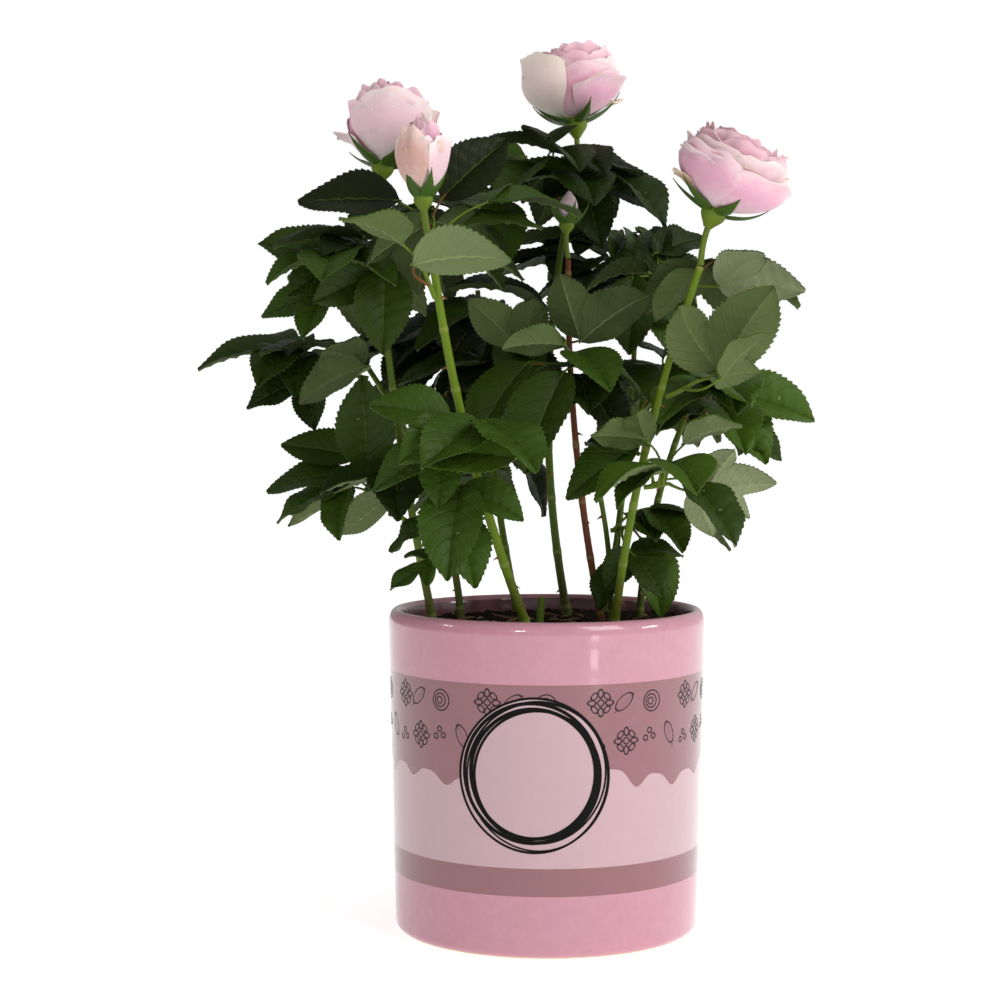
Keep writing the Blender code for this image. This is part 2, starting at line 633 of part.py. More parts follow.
def place_leaf(name, shoot, leaf, taken, rng, scratch):
    """Grows one leaf and keeps what has room: its route and leaflets, or None."""
    route, blades = grow_leaf(leaf, along_route(shoot_route(shoot), leaf.at), rng)
    kept = fitted(name, shoot, route, blades, taken, scratch)
    if kept:
        stalk = solid_tube("stalk room", route, [STALK_RADIUS * 1.2] * len(route), scratch)
        taken.append(placed(name + " shoot", stalk.data))
        bpy.data.objects.remove(stalk)
        for blade in kept:
            taken.append(placed(name, leaf_mesh(blade, LEAFLET_THICKNESS)))
        return route, kept
    return None


def place_leaves(taken, scratch):
    """All leaves of all masses: the named ones first, then the ones the rule adds in their gaps."""
    leaves = {name: [] for name in SHOOTS}
    for name, shoot in SHOOTS.items():
        rng = random.Random(shoot.seed)
        for leaf in shoot.leaves:
            leaves[name].append(place_leaf(name, shoot, leaf, taken, rng, scratch))
    for name, shoot in SHOOTS.items():
        rng = random.Random(shoot.seed + RULE_SEED)
        wanted = shoot.fill
        for index in range(shoot.fill * RULE_TRIES):
            leaf = rule_leaf(shoot, index, rng)
            spot = place_leaf(name, shoot, leaf, taken, rng, scratch) if wanted else None
            if spot:
                leaves[name].append(spot)
                wanted -= 1
    return {name: [item for item in items if item] for name, items in leaves.items()}


def make_mass(name, leaves, bark, collection, joining):
    """Shoot, stalks and leaflets of one mass as one solid."""
    base = make_shoot(name, bark, collection)
    for route, blades in leaves:
        make_leaf(route, blades, joining)
    return join(name, base, collection, joining, principled("rose leaf " + name, LEAF_GREEN, 0.45))


# ---- blooms ----

def bloom_axis(bloom):
    return heading(bloom.bearing, 90 - bloom.lean)


def bloom_frame(bloom):
    """Neck, axis and two directions across the axis."""
    axis = bloom_axis(bloom)
    first = axis.orthogonal().normalized()
    return Vector(bloom.neck) * MM, axis, first, axis.cross(first)


def head_outline(bloom, share):
    """Radius and height of the head's outline, from its foot over the rim into its middle."""
    rise = min(1.0, share / HEAD_RIM)
    if rise < HEAD_BELLY:
        wide = math.sin(math.pi / 2 * rise / HEAD_BELLY) ** 0.7
    else:
        wide = 1 - (1 - rim_share(bloom)) * ((rise - HEAD_BELLY) / (1 - HEAD_BELLY)) ** 1.5
    inward = max(0.0, (share - HEAD_RIM) / (1 - HEAD_RIM))
    height = rise ** 1.25 - HEAD_DISH * bloom.openness * math.sin(math.pi / 2 * inward)
    height += (1 - bloom.openness) * 0.12 * inward
    return bloom.radius * MM * wide * (1 - inward), bloom.height * MM * height


def rim_share(bloom):
    """The rim's radius as a share of the belly's: nearly closed on a bud."""
    return 0.2 + 0.75 * bloom.openness


def around(bloom, azimuth, height, radius):
    neck, axis, first, second = bloom_frame(bloom)
    way = first * math.cos(azimuth) + second * math.sin(azimuth)
    return neck + axis * height + way * radius


def shaped_sphere(name, columns, rows, shape, collection):
    """A closed solid from a coarse sphere: shape gives each vertex its place."""
    bm = bmesh.new()
    bmesh.ops.create_uvsphere(bm, u_segments=columns, v_segments=rows, radius=1.0)
    for vert in bm.verts:
        vert.co = shape(vert.co)
    return add_object(name, closed_mesh(name, bm), collection)


def make_head(bloom, collection):
    """The head as one closed form, with the step of each outer petal's edge down its side."""
    seat = HIP_LENGTH * bloom_scale(bloom) * HEAD_SEAT

    def shape(co):
        share = math.acos(max(-1.0, min(1.0, -co.z))) / math.pi
        azimuth = math.atan2(co.y, co.x) % math.tau if math.hypot(co.x, co.y) > 1e-3 else 0.0
        radius, height = head_outline(bloom, share)
        step = (azimuth / math.tau * bloom.petals + 0.01) % 1.0
        radius *= 1 - PETAL_STEP * step * math.sin(math.pi * share)
        return around(bloom, azimuth + HEAD_TWIST * share, seat + height, radius)
    shaped_sphere("head", 3 * bloom.petals, 8, shape, collection)


def make_sepal(bloom, index, collection):
    """A pointed green blade under the head: upright on a bud, spread on an open bloom."""
    neck, axis, first, second = bloom_frame(bloom)
    azimuth = math.tau * (index + SEPAL_TURN) / SEPALS
    out = first * math.cos(azimuth) + second * math.sin(azimuth)
    rise = math.radians(SEPAL_BUD_RISE - bloom.openness * (SEPAL_BUD_RISE - SEPAL_OPEN_RISE))
    forward = out * math.cos(rise) + axis * math.sin(rise)
    normal = axis * math.cos(rise) - out * math.sin(rise)
    scale = bloom_scale(bloom)
    base = neck + axis * (HIP_LENGTH * scale * SEPAL_SEAT) + out * (HIP_RADIUS * scale * SEPAL_INSET)
    length = SEPAL_LENGTH * scale
    blade = Blade(base, forward, normal, length, length * SEPAL_WIDTH, SEPAL_CURL, SEPAL_FOLD)
    add_object("sepal", leaf_mesh(blade, LEAFLET_THICKNESS), collection)


def bloom_scale(bloom):
    """The size of hip and sepals on this bloom, as a share of that on a head of 22 mm radius."""
    return 0.55 + 0.45 * bloom.radius / 22


def make_bloom(name, collection, joining):
    """A bloom as one solid: its stalk from 0.3 mm off the cane's tip, hip, head and sepals."""
    bloom = BLOOMS[name]
    limb = LIMBS[bloom.limb]
    neck, axis, first, second = bloom_frame(bloom)
    tip = limb_point(limb, limb.tip[2])
    way = (tip - limb_point(limb, limb.tip[2] - 1)).normalized()
    start = tip + way * CLEARANCE * 1.5
    route = arc_route(start, neck + axis * HIP_LENGTH * 0.4 - start, axis, 3)
    thin = limb.tip_radius * MM
    base = solid_tube(name + " stalk", route, [thin * 0.95, thin * 0.85, thin * 0.85, thin], collection)
    hip_radius, hip_half = HIP_RADIUS * bloom_scale(bloom), HIP_LENGTH * bloom_scale(bloom) / 2

    def hip(co):
        spot = co.z * hip_half + hip_half
        return around(bloom, math.atan2(co.y, co.x), spot, hip_radius * math.hypot(co.x, co.y))
    shaped_sphere("hip", 8, 5, hip, joining)
    make_head(bloom, joining)
    for index in range(SEPALS):
        make_sepal(bloom, index, joining)
    return join(name, base, collection, joining, principled("petals " + name, PETAL_PINK, 0.55))


# ---- the whole plant ----

def clear_scene():
    for obj in list(bpy.data.objects):
        bpy.data.objects.remove(obj)


def new_collection(name):
    collection = bpy.data.collections.new(name)
    bpy.context.scene.collection.children.link(collection)
    return collection


def build():
    clear_scene()
    plant = new_collection("potted rose bush")
    joining = new_collection("joining")
    scratch = new_collection("room tests")
    solids = [make_pot(plant), make_soil(plant)]
    solids += [make_limb(name, plant) for name in LIMBS]
    solids += [make_bloom(name, plant, joining) for name in BLOOMS]
    taken = [placed(obj.name, evaluated_mesh(obj)) for obj in solids]
    barks = {item.owner: item.tree for item in taken}
    for name, shoot in SHOOTS.items():
        stem = make_shoot(name, barks[shoot.limb], scratch)
        taken.append(placed(name + " shoot", stem.data))
        bpy.data.objects.remove(stem)
    leaves = place_leaves(taken, scratch)
    for name, shoot in SHOOTS.items():
        make_mass(name, leaves[name], barks[shoot.limb], plant, joining)
    for collection in (joining, scratch):
        bpy.data.collections.remove(collection)
    return leaves


if __name__ == "__main__":
    build()
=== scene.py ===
"""The looks of a potted rose bush: glazed and printed pot, soil, canes, leaves, blooms and buds.

Metres, +Z up, the origin at the centre of the pot's underside. X runs to the right and Y away
from the side that the large bloom leans over. A bearing is an angle from +X towards +Y.
"""

import math
import random
from collections import namedtuple

import bpy
import numpy as np
from mathutils import Matrix, Vector, noise
from mathutils.bvhtree import BVHTree


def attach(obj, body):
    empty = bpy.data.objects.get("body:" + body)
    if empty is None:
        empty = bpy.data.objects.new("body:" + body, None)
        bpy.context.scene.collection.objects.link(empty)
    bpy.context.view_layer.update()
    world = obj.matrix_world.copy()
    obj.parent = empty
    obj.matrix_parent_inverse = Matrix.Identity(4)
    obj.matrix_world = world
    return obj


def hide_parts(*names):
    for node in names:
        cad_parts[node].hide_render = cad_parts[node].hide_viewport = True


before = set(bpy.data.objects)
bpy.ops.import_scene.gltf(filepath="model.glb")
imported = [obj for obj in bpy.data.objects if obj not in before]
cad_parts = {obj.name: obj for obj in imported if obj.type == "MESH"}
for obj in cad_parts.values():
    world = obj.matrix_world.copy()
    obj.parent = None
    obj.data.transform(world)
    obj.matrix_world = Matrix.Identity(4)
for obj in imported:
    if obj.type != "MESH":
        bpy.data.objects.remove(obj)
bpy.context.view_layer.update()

MM = 0.001
UP = Vector((0.0, 0.0, 1.0))
CLEARANCE = 0.3 * MM

# Pot: a straight, slightly tapered cylinder with a rounded lip and foot.
POT_HEIGHT = 137 * MM
POT_RIM_RADIUS = 67.5 * MM
POT_FOOT_RADIUS = 64.6 * MM
POT_WALL = 5.4 * MM
FOOT_ROUNDING = 3.6 * MM
SOIL_TOP = 130 * MM

# Leaves: the end leaflet's length is given for each leaf, the other sizes are shares of it.
LEAFLET_WIDTH = 0.67
PAIR_PLACES = (0.78, 0.5)
PAIR_LENGTHS = (0.88, 0.72)
PAIR_SPREADS = (math.radians(60), math.radians(72))
STALK_RADIUS = 0.65 * MM
STALK_STEPS = 2
ROOT_SINK = 3 * MM
# The outline's sine is skewed to put the widest place nearer the base, and drawn fuller.
OUTLINE_SKEW = 0.8
OUTLINE_FULLNESS = 0.75
# What an end leaflet draws, in this order: its curl and fold in degrees.
END_SPANS = ((18, 40), (10, 24))
# What a side leaflet draws: yaw, pitch and roll in degrees, size as a share, curl and fold.
PAIR_SPANS = ((-8, 8), (-14, 8), (-16, 16), (0.92, 1.06), (15, 45), (8, 24))

# Side shoots, and the rule that fills a mass with leaves.
SHOOT_RADIUS = 1.1 * MM
SHOOT_BEND = 0.08
NODE_TURN = 144
NODE_SPACING = 24
RULE_SEED = 100
RULE_TRIES = 30
RULE_PLACES = 5
# What a leaf of the rule draws: turn from its node, dip of its end leaflet, rise and reach of its
# stalk, the end leaflet's turn from the stalk, its length, and its turn to the front, in degrees
# and millimetres.
RULE_SPANS = ((-25, 25), (-45, 12), (5, 45), (16, 32), (-20, 20), (38, 48), (-25, 25))
FOUND_WITHIN = 0.6 * MM

# Blooms: a head of overlapping petals on a hip with five sepals.
HIP_RADIUS = 4.6 * MM
HIP_LENGTH = 9 * MM
HEAD_SEAT = 0.7
HEAD_BELLY = 0.6
SEPALS = 5
SEPAL_LENGTH = 21 * MM
SEPAL_TURN = 0.3

Limb = namedtuple("Limb", "foot tip bow foot_radius tip_radius colour")
Shoot = namedtuple("Shoot", "limb height bearing rise length centre radii fill seed leaves")
Leaf = namedtuple("Leaf", "at bearing rise reach aim dip blade turn pairs sides",
                  defaults=(2, "LR"))
Bloom = namedtuple("Bloom", "limb neck lean bearing radius height openness")
Blade = namedtuple("Blade", "base forward normal length width curl fold")

GREEN = "#5f7814"
DULL_GREEN = "#51661c"
RUSSET = "#6a3a20"

# Canes in millimetres: where each leaves the soil, its tip, and how far it bows out half-way up.
LIMBS = {
    "cane_front_left": Limb((-8, -27), (-47, -68, 286), (-5, -2), 2.1, 1.7, GREEN),
    "cane_front_right": Limb((28, -22), (61, -50, 280), (-5, -6), 1.9, 1.5, GREEN),
    "cane_middle": Limb((24, 4), (9, -5, 285), (-4, 2), 1.7, 1.2, RUSSET),
    "cane_middle_short": Limb((28, 9), (22, 8, 190), (2, 1), 1.4, 1.1, DULL_GREEN),
    "cane_back": Limb((10, 30), (13, 38, 322), (-10, 3), 2.0, 1.4, DULL_GREEN),
    "cane_left": Limb((-48, -5), (-72, -12, 300), (-3, 0), 1.9, 1.3, DULL_GREEN),
    "cane_back_left": Limb((-37, 25), (-82, 40, 245), (9, 0), 1.8, 1.2, DULL_GREEN),
    "cane_right": Limb((41, 20), (76, 30, 250), (-7, 0), 1.8, 1.2, DULL_GREEN),
    "cane_rear_left": Limb((-12, 46), (-30, 72, 275), (-3, 6), 1.8, 1.2, DULL_GREEN),
    "cane_rear_right": Limb((28, 44), (42, 70, 262), (2, 6), 1.8, 1.2, DULL_GREEN),
}

# Each bloom or bud: its cane, neck, lean, bearing of the lean, the head's radius and height in
# millimetres, and how open it is.
BLOOMS = {
    "bloom_right": Bloom("cane_front_right", (64, -50, 296), 24, -10, 23, 31, 0.9),
    "bloom_top": Bloom("cane_back", (14, 38, 341), 6, 160, 21.5, 32, 0.8),
    "bloom_left": Bloom("cane_left", (-70, -10, 318), 12, 40, 18.5, 33, 0.7),
    "bud_front": Bloom("cane_front_left", (-50, -71, 301), 8, 100, 10, 33, 0.3),
    "bud_middle": Bloom("cane_middle", (8, -5, 296), 5, 0, 4.5, 13, 0.0),
}

# Masses of leaves. Each grows on a side shoot: its cane, height, bearing, rise and length in
# millimetres and degrees, the centre and radii of the space it keeps to, how many leaves the rule
# adds and their seed. Its named leaves each have: place along the shoot, bearing, rise and reach
# of the stalk, aim and dip of the end leaflet, its length, how far its upper side turns to the
# front, pairs of side leaflets, and the sides that carry them.
SHOOTS = {
    "leaves_front": Shoot(
        "cane_front_left", 262, -115, 45, 14, (-50, -96, 278), (58, 60, 44), 0, 11, (
        Leaf(1.0, -112, 22, 26, -124, 24, 40, -10, 0),
        Leaf(0.5, -100, 22, 21, -8, 15, 42, -45, 0),
    )),
    "leaves_bud": Shoot("cane_front_left", 280, 100, 55, 10, (-46, -46, 310), (64, 52, 50), 3, 12, (
        Leaf(1.0, 56, 57, 20, 0, 47, 38, 65, 0),
        Leaf(0.3, 10, 35, 18, -3, 14, 33, 18, 0),
        Leaf(0.8, 170, 45, 22, 178, 6, 42, 45, 0),
        Leaf(0.5, 60, 0, 24, 20, -12, 34, 30, 1, "R"),
    )),
    "leaves_upper_left": Shoot(
        "cane_left", 264, 200, 45, 14, (-82, -22, 286), (58, 66, 58), 4, 13, (
        Leaf(1.0, 185, 40, 12, 182, 18, 35, 50),
        Leaf(0.8, 110, 60, 22, 195, 35, 38, 60, 1),
        Leaf(0.6, -95, 50, 26, 190, 8, 38, 5, 1, "L"),
        Leaf(0.4, -70, 15, 26, -92, -62, 38, 10, 1, "R"),
        Leaf(0.7, 175, -15, 18, 184, -8, 30, 45, 1),
        Leaf(0.9, -135, -25, 24, 197, 76, 42, 0, 0),
        Leaf(0.5, -120, 25, 18, 184, 20, 36, 50, 1),
        Leaf(0.9, 225, 61, 26, 184, 2, 38, 45, 0),
        Leaf(0.6, -120, -10, 26, 200, -30, 36, 40, 0),
    )),
    "leaves_left": Shoot("cane_back_left", 234, 190, 14, 20, (-106, 14, 240), (60, 60, 48), 2, 14, (
        Leaf(1.0, 190, 20, 20, 187, -4, 41, 18),
        Leaf(0.8, 215, -20, 16, 195, -18, 31, 40, 1),
        Leaf(0.3, -85, 5, 34, 197, -16, 36, -50, 1, "L"),
        Leaf(0.6, -105, -35, 22, 188, -12, 38, 40, 1),
        Leaf(0.2, -60, -10, 26, -70, -50, 36, 10, 1, "R"),
    )),
    "leaves_low_left": Shoot("cane_left", 172, 200, 35, 18, (-82, -14, 192), (52, 58, 48), 2, 15, (
        Leaf(1.0, 170, 10, 15, 187, -10, 34, 20, 1),
        Leaf(0.8, -130, 10, 16, 188, -9, 38, -38, 1, "L"),
        Leaf(0.5, 140, 5, 26, 180, -8, 30, -30, 1, "L"),
        Leaf(0.4, -100, 20, 16, 190, -30, 27, -55, 0),
        Leaf(0.9, 165, 30, 18, 186, 4, 36, 30, 0),
        Leaf(0.7, 150, 52, 26, 178, 14, 34, 45, 1, "L"),
        Leaf(0.8, 235, 62, 18, -95, 66, 40, 60, 0),
    )),
    "leaves_front_middle": Shoot(
        "cane_front_left", 207, -80, 15, 10, (-44, -70, 204), (52, 46, 38), 1, 16, (
        Leaf(1.0, -35, -25, 18, 184, 8, 42, 48, 0),
        Leaf(0.7, -150, 35, 16, 186, 18, 34, 50, 1, "L"),
        Leaf(0.3, -170, -10, 16, 190, -25, 32, 40, 1, "L"),
    )),
    "leaves_middle": Shoot("cane_middle", 226, -95, 20, 20, (2, -42, 214), (48, 50, 46), 3, 17, (
        Leaf(1.0, -100, 0, 24, -128, -46, 48, 10, 0),
        Leaf(0.8, -135, 20, 26, -142, -44, 37, 15, 1, "R"),
        Leaf(0.5, 170, -30, 22, 187, -25, 30, -60, 0),
        Leaf(0.6, -60, 0, 14, -60, -35, 36, 15, 1, "R"),
        Leaf(0.9, -5, 25, 24, 200, -52, 33, -10, 0),
    )),
    "leaves_centre": Shoot("cane_middle", 246, -100, 10, 20, (4, -36, 268), (48, 46, 46), 3, 18, (
        Leaf(0.6, 170, 5, 22, 190, 45, 30, -70, 1, "L"),
        Leaf(0.9, -40, 5, 12, -5, 42, 37, -60, 1, "R"),
        Leaf(0.7, 175, 45, 14, 176, 76, 46, -20, 0),
        Leaf(1.0, -100, -10, 14, 184, 6, 27, -50, 0),
    )),
    "leaves_top": Shoot("cane_back", 305, -150, 55, 14, (2, 12, 318), (60, 54, 48), 5, 19, (
        Leaf(1.0, -45, 55, 26, 184, 8, 42, 15, 0),
        Leaf(0.9, 170, 45, 18, 188, 4, 38, 40, 1, "L"),
        Leaf(0.8, 175, 40, 16, 186, -38, 36, 35, 1, "L"),
        Leaf(0.6, -70, 10, 28, 182, 10, 42, 25, 0),
        Leaf(0.4, -20, 25, 18, -5, -10, 38, 45, 1, "R"),
        Leaf(0.9, 40, 45, 20, 4, 22, 34, 50, 1, "L"),
        Leaf(0.5, -150, -10, 26, -100, -50, 38, 5, 1, "R"),
    )),
    "leaves_upper_right": Shoot(
        "cane_right", 238, 110, 70, 28, (46, 22, 290), (48, 50, 52), 4, 20, (
        Leaf(1.0, 160, 50, 26, 20, 30, 30, 50, 1),
        Leaf(0.8, -150, 20, 36, -100, -62, 36, 10, 1, "L"),
        Leaf(0.9, 170, 40, 20, 188, 10, 34, 45, 0),
    )),
    "leaves_bloom_right": Shoot(
        "cane_front_right", 262, 60, 45, 14, (66, -34, 268), (50, 46, 44), 1, 21, (
        Leaf(1.0, 150, 50, 10, 186, -46, 46, -15, 0),
        Leaf(0.7, 0, 0, 12, 2, 6, 36, -55, 1, "R"),
    )),
    "leaves_right": Shoot(
        "cane_front_right", 226, -25, 22, 14, (74, -66, 248), (46, 44, 48), 0, 22, (
        Leaf(1.0, -10, 30, 12, -12, 62, 44, -70, 1, "R"),
        Leaf(0.3, -115, 60, 22, -8, 25, 37, -60, 1, "R"),
        Leaf(0.6, -50, 15, 24, 2, 58, 26, -20, 1, "L"),
    )),
    "leaves_far_right": Shoot("cane_right", 212, -20, 32, 14, (78, 6, 230), (44, 54, 44), 3, 23, (
        Leaf(1.0, -60, 20, 14, -8, -4, 42, 50, 1),
        Leaf(0.6, -60, -15, 20, -12, -18, 30, 40, 1, "L"),
    )),
    "leaves_low_right": Shoot(
        "cane_front_right", 190, -10, 5, 10, (54, -48, 196), (56, 52, 46), 2, 24, (
        Leaf(1.0, -8, -8, 20, 0, 18, 28, -55),
        Leaf(0.6, -120, 50, 26, 184, 10, 24, -60, 1, "L"),
        Leaf(0.4, 150, 55, 18, 180, -24, 38, 42, 1, "R"),
        Leaf(0.8, -60, 45, 26, -10, 32, 26, -30, 0),
    )),
    "leaves_foot_right": Shoot(
        "cane_middle_short", 169, 0, 10, 8, (42, -6, 158), (44, 44, 34), 1, 25, (
        Leaf(1.0, -45, -42, 11, -45, -62, 36, 20, 0),
        Leaf(0.7, -80, -25, 26, -50, -30, 26, 30, 1),
        Leaf(0.4, -100, -40, 24, -125, -45, 22, 20, 0),
        Leaf(0.8, -35, -35, 24, -20, -40, 22, 10, 1, "L"),
    )),
    "leaves_foot_left": Shoot(
        "cane_front_left", 180, 195, 10, 10, (-46, -52, 168), (42, 44, 32), 1, 26, (
        Leaf(1.0, -100, -20, 10, -60, -44, 36, 25, 0),
        Leaf(0.6, 200, -50, 32, 195, -25, 17, 30, 1),
        Leaf(0.8, 215, -15, 14, 186, -20, 26, 20, 0),
    )),
    "leaves_behind_left": Shoot(
        "cane_rear_left", 232, 160, 35, 22, (-62, 62, 250), (58, 54, 56), 7, 27, ()),
    "leaves_behind_bud": Shoot(
        "cane_left", 286, 70, 35, 20, (-54, 14, 296), (48, 46, 38), 6, 33, ()),
    "leaves_behind_low": Shoot(
        "cane_rear_left", 178, 120, 25, 18, (-38, 70, 194), (60, 50, 42), 5, 28, ()),
    "leaves_behind_right": Shoot(
        "cane_rear_right", 215, 40, 35, 22, (56, 70, 228), (54, 52, 54), 7, 29, ()),
    "leaves_behind_top": Shoot(
        "cane_rear_right", 254, 130, 65, 30, (22, 58, 300), (58, 50, 46), 8, 30, ()),
    "leaves_inner": Shoot("cane_back", 235, -150, 35, 18, (-30, 16, 256), (54, 50, 54), 6, 31, (
        Leaf(1.0, 165, 40, 26, 178, -16, 43, 25, 2),
        Leaf(0.8, -125, 45, 28, -155, -12, 44, 15, 2),
        Leaf(0.9, -60, 50, 26, 185, 30, 42, 10, 1, "R"),
    )),
    "leaves_inner_low": Shoot("cane_left", 215, 20, 20, 18, (-30, 4, 206), (44, 44, 36), 5, 32, ()),
}


# ---- the rule the leaves grow by ----

def heading(bearing, rise):
    """The unit vector at a bearing and a rise, both in degrees."""
    turn, lift = math.radians(bearing), math.radians(rise)
    flat = math.cos(lift)
    return Vector((flat * math.cos(turn), flat * math.sin(turn), math.sin(lift)))


def limb_share(limb, height):
    """How far up a cane a height in millimetres lies: 0 at the soil, 1 at the tip."""
    return (height * MM - SOIL_TOP) / (limb.tip[2] * MM - SOIL_TOP)


def limb_point(limb, height):
    """A cane's centre at a height in millimetres."""
    share = limb_share(limb, height)
    swell = 4 * share * (1 - share)
    ends = zip(limb.foot, limb.tip, limb.bow)
    x, y = ((a + (b - a) * share + bow * swell) * MM for a, b, bow in ends)
    return Vector((x, y, height * MM))


def limb_radius(limb, height):
    """A cane's radius at a height in millimetres."""
    return (limb.foot_radius + (limb.tip_radius - limb.foot_radius) * limb_share(limb, height)) * MM


def arc_route(start, chord, end_way, steps):
    """Points of a bent stalk from start to start + chord, which arrives along end_way."""
    first = (2 * chord.normalized() - end_way).normalized() * chord.length
    last = end_way * chord.length
    points = []
    for step in range(steps + 1):
        t = step / steps
        points.append(start + chord * (3 * t * t - 2 * t ** 3) + first * (t ** 3 - 2 * t * t + t)
                      + last * (t ** 3 - t * t))
    return points


def along_route(points, share):
    """The point a share of the way along a line of points."""
    place = share * (len(points) - 1)
    index = min(int(place), len(points) - 2)
    return points[index].lerp(points[index + 1], place - index)


def leaf_outline(along):
    """Half width of a leaflet as a share of its widest: round at the base, drawn to a tip."""
    return np.sin(math.pi * np.clip(along, 0, 1) ** OUTLINE_SKEW) ** OUTLINE_FULLNESS


def blade_points(blade, along, half, lift):
    """Points of a leaflet that curls down along its length and folds up along its midrib.

    along and half are shares of its length and half width, lift is a distance above its surface.
    """
    side = np.array(blade.forward.cross(blade.normal))
    forward, normal = np.array(blade.forward), np.array(blade.normal)
    angle = (blade.curl * along)[..., None]
    radius = blade.length / blade.curl
    up = normal * np.cos(angle) + forward * np.sin(angle)
    spine = (np.array(blade.base) + forward * (radius * np.sin(angle))
             - normal * (radius * (1 - np.cos(angle))))
    wide = (0.5 * blade.width * half)[..., None]
    return (spine + side * (wide * math.cos(blade.fold))
            + up * (np.abs(wide) * math.sin(blade.fold) + lift[..., None]))


def plain_points(blade, along, across):
    """Points of a leaflet as the solids have it, at places along and across."""
    along, across = np.array(along), np.array(across)
    half = leaf_outline(along) * across
    return blade_points(blade, along, half, np.zeros(along.shape)).reshape(-1, 3).tolist()


def facing(forward, turn):
    """The upper side's direction: upright, turned to the front by an angle, square to forward."""
    wish = Vector((0, -math.sin(math.radians(turn)), math.cos(math.radians(turn))))
    normal = wish - forward * wish.dot(forward)
    if normal.length < 0.2:
        normal = UP - forward * UP.dot(forward)
    return normal.normalized()


def grow_leaf(leaf, root, rng):
    """One compound leaf: the route of its stalk, and its leaflets from the end one down."""
    aim = heading(leaf.aim, leaf.dip)
    route = arc_route(root, heading(leaf.bearing, leaf.rise) * leaf.reach * MM, aim, STALK_STEPS)
    normal = facing(aim, leaf.turn)
    length = leaf.blade * MM
    curl, fold = (math.radians(rng.uniform(*span)) for span in END_SPANS)
    blades = [Blade(route[-1] - aim * ROOT_SINK, aim, normal, length, length * LEAFLET_WIDTH,
                    curl, fold)]
    for place, share, spread in list(zip(PAIR_PLACES, PAIR_LENGTHS, PAIR_SPREADS))[:leaf.pairs]:
        for letter, hand in (("L", 1), ("R", -1)):
            yaw, pitch, roll, size, curl, fold = (rng.uniform(*span) for span in PAIR_SPANS)
            if letter not in leaf.sides:
                continue
            forward = Matrix.Rotation(hand * (spread + math.radians(yaw)), 3, normal) @ aim
            tilt = Matrix.Rotation(math.radians(pitch), 3, forward.cross(normal))
            forward, up = tilt @ forward, tilt @ normal
            up = Matrix.Rotation(math.radians(roll), 3, forward) @ up
            side_length = length * share * size
            blades.append(Blade(along_route(route, place), forward, up, side_length,
                                side_length * LEAFLET_WIDTH, math.radians(curl),
                                math.radians(fold)))
    return route, blades


def rule_leaf(shoot, index, rng):
    """A leaf that the rule adds: two fifths of a turn on from the last, drooping as it goes out."""
    wander, dip, rise, reach, swing, blade, turn = (rng.uniform(*span) for span in RULE_SPANS)
    bearing = shoot.bearing + index * NODE_TURN + wander
    place = (index % RULE_PLACES + 1) / RULE_PLACES
    return Leaf(place, bearing, rise, reach, bearing + swing, dip, blade, turn)


def shoot_route(shoot):
    """A side shoot's points, from 0.3 mm clear of its cane's bark, bending up a little."""
    limb = LIMBS[shoot.limb]
    way = heading(shoot.bearing, shoot.rise)
    root = limb_point(limb, shoot.height)
    lean = (limb_point(limb, shoot.height + 1) - root).normalized()
    along = abs(way.dot(lean))
    away = math.sqrt(1 - along * along)
    gap = limb_radius(limb, shoot.height) + 2 * CLEARANCE + SHOOT_RADIUS * along
    start = root + way * (gap / away)
    length = shoot.length * MM
    return [start, start + way * (0.5 * length), start + way * length + UP * (SHOOT_BEND * length)]


def grown_on(shoot, leaf, rng):
    """A leaf grown at its place along a side shoot."""
    return grow_leaf(leaf, along_route(shoot_route(shoot), leaf.at), rng)


# ---- materials ----

# Most of a noise's values lie between these.
NOISE_SPAN = (0.3, 0.7)
MOTTLE_SPAN = (0.35, 0.65)
# Side veins: pairs along a leaflet, how far they run forward by the edge, how they sweep, and the
# share of the way to the next that each takes up.
VEINS = 7
VEIN_SLANT = 2.1
VEIN_SWEEP = 1.3
VEIN_SHARE = 0.4


def linear(colour):
    """A colour given as sRGB hex, as linear red, green, blue and alpha."""
    parts = [int(colour[i:i + 2], 16) / 255 for i in (1, 3, 5)]
    curve = [p / 12.92 if p <= 0.04045 else ((p + 0.055) / 1.055) ** 2.4 for p in parts]
    return tuple(curve) + (1.0,)


def between(first, last, share):
    """The colour a share of the way from one sRGB hex to another."""
    parts = [(int(first[i:i + 2], 16), int(last[i:i + 2], 16)) for i in (1, 3, 5)]
    return "#" + "".join("%02x" % round(a + (b - a) * share) for a, b in parts)


def node(tree, kind, settings=None, **inputs):
    """Adds a node: its settings, and its inputs as constants or as another node's output."""
    made = tree.nodes.new("ShaderNode" + kind)
    for key, value in (settings or {}).items():
        setattr(made, key, value)
    for key, value in inputs.items():
        socket = made.inputs[int(key[1:])] if key[0] == "_" else made.inputs[key.replace("_", " ")]
        if isinstance(value, bpy.types.NodeSocket):
            tree.links.new(value, socket)
        else:
            socket.default_value = value
    return made


